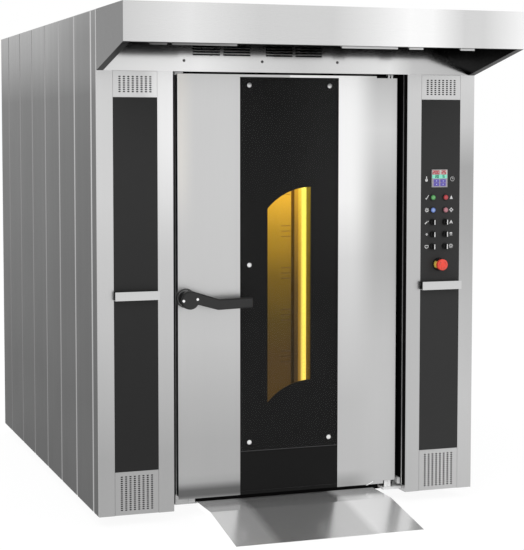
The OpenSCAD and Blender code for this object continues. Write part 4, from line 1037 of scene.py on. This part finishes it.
def sweep_parts(settings):
    """Rubber shoe of the door's sweep, its end cap, and the gusset at the hinge side."""
    section = [(-0.8775, 0.0685), (-0.8739, 0.0685), (-0.8739, 0.088), (-0.8763, 0.088)]
    shoe = Form().beam(section, -0.45, 0.46)
    shoe.place("sweep_shoe", "door", "reveal_rubber", finished("black_rubber"), bevel=0.0003)
    cap = Form().beam(section, -0.48, -0.451)
    cap_steel = brushed("cap_steel", 200, "X", 0.35, metallic=0.4)
    cap.place("sweep_cap", "door", "fitting_steel", cap_steel, bevel=0.0003)
    gusset = Form()
    gusset.prism([(0.390, 0.0895), (0.394, 0.0885), (0.428, 0.1035), (0.424, 0.1065)],
                 LEAF_LOW.y - 0.0006, LEAF_LOW.y + 0.0015)
    # near-white gusset: painted highlight of a bright edge line
    gusset.place("lip_gusset", "door", "fitting_steel", brushed("gusset_steel", 255, "X", 0.3, metallic=0.2))


def lever_parts(settings):
    """Two bright screws on the lever's hub and the rose behind it."""
    hub = joint_place("handle_turn")
    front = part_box("lever_handle")[0].y
    radius = settings.lever_screw_radius
    dome = [(0, 0.0032), (radius - 0.0025, 0.0028), (radius - 0.0005, 0.0014), (radius, 0), (radius, -0.004)]
    screws = Form()
    for x, z in ((-0.5367, 1.0122), (-0.4716, 1.0176)):
        screws.lathe(at(x, front, z), dome)
    screws.place("lever_screws", "handle", "screw_steel", polished("lever_screw_steel", 0.95, 0.15))
    outer, foot, face = settings.rose_radius, -0.0005, 0.0115
    inner = outer - 0.0045
    rose = Form()
    rose.lathe(at(hub.x, LEAF_LOW.y, hub.z + 0.002),
               [(inner, foot), (outer, foot), (outer, face - 0.0015), (outer - 0.0015, face), (inner, face),
                (inner, foot)], 48)
    rose.place("lever_rose", "door", "lever_black", coated("rose_black", settings.rose_colour, 0.4, 0.4))


def pivot_bushes(settings):
    """Bush, clevis and pin plates at the door's upper and lower pivots."""
    pivot = joint_place("door_swing")
    # near-white steel with little metal: painted highlights of bush, clevis and pin
    pale = brushed("stop_steel", 235, "Z", 0.35, metallic=0.2)
    white = brushed("bush_steel", 255, "Z", 0.25, metallic=0.1)
    outer, inner = settings.bush_radius, settings.bush_radius - 0.005
    low, high = LEAF_HIGH.z + 0.0005, HEADER_LOW.z - 0.0005
    bush = Form()
    bush.lathe(at(pivot.x, pivot.y, 0, SKYWARD), [(inner, low), (outer, low), (outer, high), (inner, high),
                                                  (inner, low)], 32)
    bush.place("upper_bush", "cabinet", "fitting_steel", pale)
    centre = pivot.x - 0.008
    clevis = Form()
    top = Form()
    for x0, x1 in ((-0.0165, -0.002), (0.002, 0.0165)):
        clevis.box((centre + x0, pivot.y - 0.0195, FITTING_Z + 0.0125),
                   (centre + x1, pivot.y - 0.014, LEAF_LOW.z - 0.001))
    for x0, x1 in ((-0.0125, -0.003), (0.003, 0.0125)):
        top.box((centre + x0, LEAF_LOW.y - 0.0004, LEAF_HIGH.z - 0.0095),
                (centre + x1, LEAF_LOW.y + 0.003, LEAF_HIGH.z + 0.0068))
    clevis.place("lower_clevis", "cabinet", "fitting_steel", white, bevel=0.0008)
    top.place("upper_pin_plates", "door", "fitting_steel", white, bevel=0.0006)


def reveal_trim(settings):
    """Stop at the reveal's upper left and the thin steel beads of both reveals."""
    edge, front, back = -REVEAL_X + 0.0005, LEAF_LOW.y - 0.004, LEAF_LOW.y + 0.02
    stop = Form()
    stop.box((edge, front, LEAF_HIGH.z + 0.0012), (-0.513, back, HEADER_LOW.z - 0.0006))
    stop.box((edge, front, LEAF_HIGH.z - 0.005), (LEAF_LOW.x - 0.004, back, LEAF_HIGH.z + 0.0014))
    # the stop shares the pale steel's painted highlight
    stop.place("upper_stop", "cabinet", "fitting_steel", finished("stop_steel"), bevel=0.0006)

    def bead_tone(steel):
        """The beads are brightest near the floor."""
        return steel.tones(steel.axis("Z"), (0.1, 225), (0.4, 160), (2.0, 115))

    beads = Form()
    for side in (-1, 1):
        x0, x1 = sorted((side * (REVEAL_X - 0.0062), side * (REVEAL_X - 0.0076)))
        beads.box((x0, FACE_Y + 0.012, 0.087), (x1, FACE_Y + 0.018, HEADER_LOW.z - 0.001))
    bead = brushed("bead_steel", bead_tone, "Z", 0.35, metallic=0.2)
    beads.place("reveal_beads", "cabinet", "front_steel", bead, bevel=0.0003)


# ---------- chamber pieces ----------


def corner_channels(settings):
    """Channels in the corners beside the diffuser wall."""
    # painted light: the channels glow, dimmest at the foot
    dark = Surface("channel_brown", emission_strength=1.0, roughness=0.6)
    tone = dark.tones(dark.axis("Z"), (0.5, (0.03, 0.02, 0.009)), (0.9, (0.05, 0.028, 0.006)),
                      (1.25, (0.11, 0.06, 0.006)), (1.6, (0.3, 0.12, 0.006)))
    dark.set(emission_color=dark.scaled(tone, 0.9 + 0.2 * dark.noise(60.0)))
    dark.set(base_color=dark.scaled(tone, 0.3))
    right, left = WALL_X - 0.0008, WALL_X - 0.0192
    outline = [(left, 0.0), (left, 0.004), (left + 0.002, 0.004), (left + 0.002, 0.001),
               (right - 0.002, 0.001), (right - 0.002, 0.004), (right, 0.004), (right, 0.0)]
    form = Form()
    for side in (-1, 1):
        form.prism([(side * x, DIFFUSER_Y - y) for x, y in outline], *TRIM_Z, UPRIGHT)
    form.place("corner_channels", "cabinet", "chamber_steel", dark, smooth=False)


def lamp_trim(settings):
    """End caps of the chamber's lamp and the ribs of its glass."""
    x, (y0, y1), (z0, z1) = LAMP_LOW.x, (LAMP_LOW.y, LAMP_HIGH.y), (LAMP_LOW.z, LAMP_HIGH.z)
    caps = Form()
    for z in (z0, z1):
        caps.box((x - 0.002, y0 - 0.006, z - 0.008), (WALL_X - 0.0005, y1 + 0.006, z + 0.008))
    steel = brushed("lamp_cap_steel", 150, "Z", 0.35)
    caps.place("lamp_end_caps", "cabinet", "chamber_steel", steel, bevel=0.0008)
    ribs = Form()
    count = 9
    for i in range(count):
        y = y0 + (i + 0.5) * (y1 - y0) / count
        ribs.prism([(x - 0.0012, y), (x + 0.0004, y + 0.0035), (x + 0.0004, y - 0.0035)],
                   z0 + 0.01, z1 - 0.01, UPRIGHT)
    ribs.place("lamp_ribs", "cabinet", "lamp_glass", finished("lamp_glow"), smooth=False)


def wall_strips(settings):
    """Cover strips over the seams of the chamber's side walls."""
    half_t, half_w = 0.0012, settings.cover_strip_width / 2
    form = Form()
    for x in (0.0006 - WALL_X, WALL_X - 0.0006):
        for y in (-0.42, 0.02):
            form.box((x - half_t, y - half_w, TRIM_Z[0]), (x + half_t, y + half_w, TRIM_Z[1]))
    # the strips share the walls' painted glow
    form.place("wall_cover_strips", "cabinet", "chamber_steel", finished("wall_gold"), bevel=0.0008)


# ---------- fasteners, roof and feet ----------


def roof_screws(settings):
    """Screws along both edges of the roof sheet."""
    form = Form()
    for side in (-1, 1):
        for i in range(9):
            y = FACE_Y + 0.06 + i * (REAR_Y - FACE_Y - 0.12) / 8
            form.screw(at(side * (FLANK_X - 0.025), y, ROOF_Z, SKYWARD), settings.roof_screw_radius)
    form.place("roof_screws", "cabinet", "screw_steel", polished("casing_screw_steel", 0.7, 0.25))


def outlet_bands(settings):
    """Clamp bands at the foot and the mouth of the flue and the steam outlet."""
    low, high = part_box("roof_outlets")
    flue, steam = (-0.33, 0.075), (0.33, 0.06)
    height, thick = 0.010, settings.band_thickness
    form = Form()
    for x, radius in (flue, steam):
        inner, outer = radius + 0.0002, radius + thick
        for z in (ROOF_Z + 0.014, high.z - 0.014):
            z0, z1 = z - height / 2, z + height / 2
            form.lathe(at(x, (low.y + high.y) / 2, 0, SKYWARD),
                       [(inner, z0), (outer, z0 + 0.001), (outer, z1 - 0.001), (inner, z1), (inner, z0)], 48)
    form.place("outlet_bands", "cabinet", "duct_steel", brushed("band_steel", 190, "X", 0.25))


def foot_nuts(settings):
    """Lock nuts of the levelling feet."""
    cell = 0.2
    feet = {}
    for vertex in frame["nodes"]["levelling_feet"].data.vertices:
        key = (round(vertex.co.x / cell), round(vertex.co.y / cell))
        feet.setdefault(key, []).append(vertex.co)
    radius = settings.nut_radius
    form = Form()
    for spots in feet.values():
        x = (min(spot.x for spot in spots) + max(spot.x for spot in spots)) / 2
        y = (min(spot.y for spot in spots) + max(spot.y for spot in spots)) / 2
        corners = [math.tau * i / 6 for i in range(6)]
        nut = [(x + radius * math.cos(angle), y + radius * math.sin(angle)) for angle in corners]
        form.prism(nut, FOOT_TOP_Z - 0.006, FOOT_TOP_Z - 0.0005, UPRIGHT)
    form.place("foot_nuts", "cabinet", "foot_steel", polished("nut_zinc", 0.6, 0.3), bevel=0.0004)


# ---------- add-on ----------


def size(name, description, default):
    """A size that a user may change."""
    return bpy.props.FloatProperty(name=name, description=description, default=default, min=0.0002,
                                   precision=4, unit="LENGTH")


def tint(name, description, default):
    """A colour that a user may change."""
    return bpy.props.FloatVectorProperty(name=name, description=description, default=default,
                                         min=0, max=1, subtype="COLOR")


class OvenSettings(bpy.types.PropertyGroup):
    """Sizes and colours of the oven's pieces, and the strength of its lights."""

    room_light: bpy.props.FloatProperty(name="Room light", description="Strength of the light from all round",
                                        default=0.75, min=0)
    key_light: bpy.props.FloatProperty(name="Key light", description="Power of the main lamp",
                                       default=120, min=0, unit="POWER")
    # the chamber walls' glow is painted light
    chamber_light: bpy.props.FloatProperty(name="Chamber light", description="Glow of the chamber's walls",
                                           default=1.2, min=0)
    pleat_pitch: size("Pleat pitch", "Spacing of the pleats of the vent filters", 0.012)
    pleat_depth: size("Pleat depth", "Depth of the pleats of the vent filters", 0.008)
    header_screw_radius: size("Header screws", "Radius of the screws across the header", 0.0065)
    hood_bar_drop: size("Hood bars", "How far the bars hang below the fascia's edge", 0.0095)
    selector_bar_width: size("Selector bar width", "Width of the selectors' white bars", 0.0044)
    selector_bar_length: size("Selector bar length", "Length of the selectors' white bars", 0.023)
    lens_radius: size("Button lens", "Radius of the push buttons' lenses", 0.0078)
    collar_radius: size("Stop collar", "Radius of the collar behind the stop button", 0.0262)
    stop_plate_radius: size("Stop plate", "Radius of the plate round the stop button", 0.0315)
    glass_frame_width: size("Inner glass frame", "Width of the frame round the inner glass", 0.016)
    liner_screw_radius: size("Liner screws", "Radius of the screws of the door's inner pan", 0.005)
    lip_drop: size("Leaf lip", "How far the lips hang below the door's skin", 0.014)
    lever_screw_radius: size("Lever screws", "Radius of the two screws on the lever", 0.0065)
    rose_radius: size("Lever rose", "Radius of the ring behind the lever's hub", 0.044)
    bush_radius: size("Pivot bush", "Radius of the door's upper bush", 0.0175)
    cover_strip_width: size("Cover strips", "Width of the strips over the chamber's seams", 0.018)
    roof_screw_radius: size("Roof screws", "Radius of the roof sheet's screws", 0.006)
    band_thickness: size("Outlet bands", "How far the bands stand out from the outlets", 0.0025)
    nut_radius: size("Foot nuts", "Radius over the corners of the feet's nuts", 0.0115)
    panel_colour: tint("Panels", "Enamel of the black panels", grey(46))
    lever_colour: tint("Lever", "Moulding of the door lever", grey(39))
    rose_colour: tint("Rose", "Coat of the ring behind the lever", grey(74))
    filter_colour: tint("Filters", "Fibre of the vent filters", grey(38))
    sign_colour: tint("Signs", "Signs beside the switches", grey(228))
    selector_bar_colour: tint("Selector bars", "Bars on the selectors", grey(245))
    lens_green: tint("Green lens", "Lens of the green button", (0.17, 0.48, 0.17))
    lens_red: tint("Red lens", "Lens of the red button", (0.55, 0.07, 0.08))
    lens_blue: tint("Blue lens", "Lens of the blue button", (0.3, 0.43, 0.8))
    lens_pink: tint("Pink lens", "Lens of the pink button", (0.55, 0.24, 0.28))
    stop_colour: tint("Stop button", "Head of the stop button", (1.0, 0.09, 0.06))
    collar_colour: tint("Collar", "Collar behind the stop button", (0.95, 0.68, 0.12))
    figure_colour: tint("Figures", "Figures in the display's upper pane", (0.55, 0.03, 0.07))
    pane_colour: tint("Pane", "The display's middle pane", (0.2, 0.62, 0.47))
    key_colour: tint("Keys", "Keys of the display", (0.16, 0.13, 0.5))


def operator(identifier, label, words, build):
    """An operator class that builds one group of pieces."""

    def execute(self, context):
        build(context.scene.oven_settings)
        return {"FINISHED"}

    return type("OVEN_OT_" + identifier, (bpy.types.Operator,), {
        "__doc__": words, "bl_idname": "oven." + identifier, "bl_label": label, "execute": execute})


OPERATORS = [
    operator("studio", "Studio", "Adds the camera, the floor and the lamps", camera_and_studio),
    operator("casing", "Steel", "Finishes the steel of casing, door and ramp", steel_casing),
    operator("works", "Frame and works", "Finishes the frame and the drives", frame_and_works),
    operator("chamber", "Chamber", "Finishes the lit chamber", chamber),
    operator("panels", "Black panels", "Finishes panels, glass, rubber and lever", black_panels),
    operator("switches", "Switches", "Finishes the switches", switches),
    operator("filters", "Vent filters", "Adds the mats behind the grilles", vent_filters),
    operator("header_screws", "Header screws", "Adds the header's screws", header_screws),
    operator("hood_bars", "Hood bars", "Adds the bars inside the fascia's edge", hood_edge_bars),
    operator("display", "Display", "Adds the display's panes, figures and keys", display_parts),
    operator("signs", "Panel signs", "Adds the signs beside the switches", panel_signs),
    operator("selector_bars", "Selector bars", "Adds the selectors' white bars", selector_bars),
    operator("lenses", "Button lenses", "Adds the push buttons' lenses", button_lenses),
    operator("stop_parts", "Stop button", "Adds the stop button's collar, plate and arcs", stop_button_parts),
    operator("glass_edges", "Glass edges", "Adds the edges of the centre glass", glass_edges),
    operator("liner_parts", "Liner parts", "Adds the inner glass's frame and the pan's screws", liner_parts),
    operator("leaf_lips", "Leaf lips", "Adds the lips under the door's skin", leaf_lips),
    operator("sweep_parts", "Sweep parts", "Adds the sweep's shoe and cap and the gusset", sweep_parts),
    operator("lever_parts", "Lever parts", "Adds the lever's screws and rose", lever_parts),
    operator("pivots", "Pivot bushes", "Adds bush, clevis and pin plates of the pivots", pivot_bushes),
    operator("reveal_trim", "Reveal trim", "Adds the upper stop and the reveals' beads", reveal_trim),
    operator("channels", "Corner channels", "Adds the channels beside the diffuser wall", corner_channels),
    operator("lamp_trim", "Lamp trim", "Adds the lamp's end caps and ribs", lamp_trim),
    operator("wall_strips", "Wall strips", "Adds the strips over the chamber's seams", wall_strips),
    operator("roof_screws", "Roof screws", "Adds the screws of the roof sheet", roof_screws),
    operator("outlet_bands", "Outlet bands", "Adds the clamp bands of the outlets", outlet_bands),
    operator("feet", "Feet", "Adds the nuts of the levelling feet", foot_nuts),
]


class OVEN_PT_build(bpy.types.Panel):
    """Shows the oven's settings and builders in the sidebar."""

    bl_label = "Rack Oven"
    bl_idname = "OVEN_PT_build"
    bl_space_type = "VIEW_3D"
    bl_region_type = "UI"
    bl_category = "Rack Oven"

    def draw(self, context):
        for name in OvenSettings.__annotations__:
            self.layout.prop(context.scene.oven_settings, name)
        for each in OPERATORS:
            self.layout.operator(each.bl_idname)


CLASSES = [OvenSettings, *OPERATORS, OVEN_PT_build]


def register():
    for each in CLASSES:
        bpy.utils.register_class(each)
    bpy.types.Scene.oven_settings = bpy.props.PointerProperty(type=OvenSettings)


def unregister():
    del bpy.types.Scene.oven_settings
    for each in reversed(CLASSES):
        bpy.utils.unregister_class(each)


def main():
    """Builds everything and notes how large the object has become."""
    register()
    for each in OPERATORS:
        getattr(bpy.ops.oven, each.bl_idname.split(".")[1])()


if __name__ == "__main__":
    main()
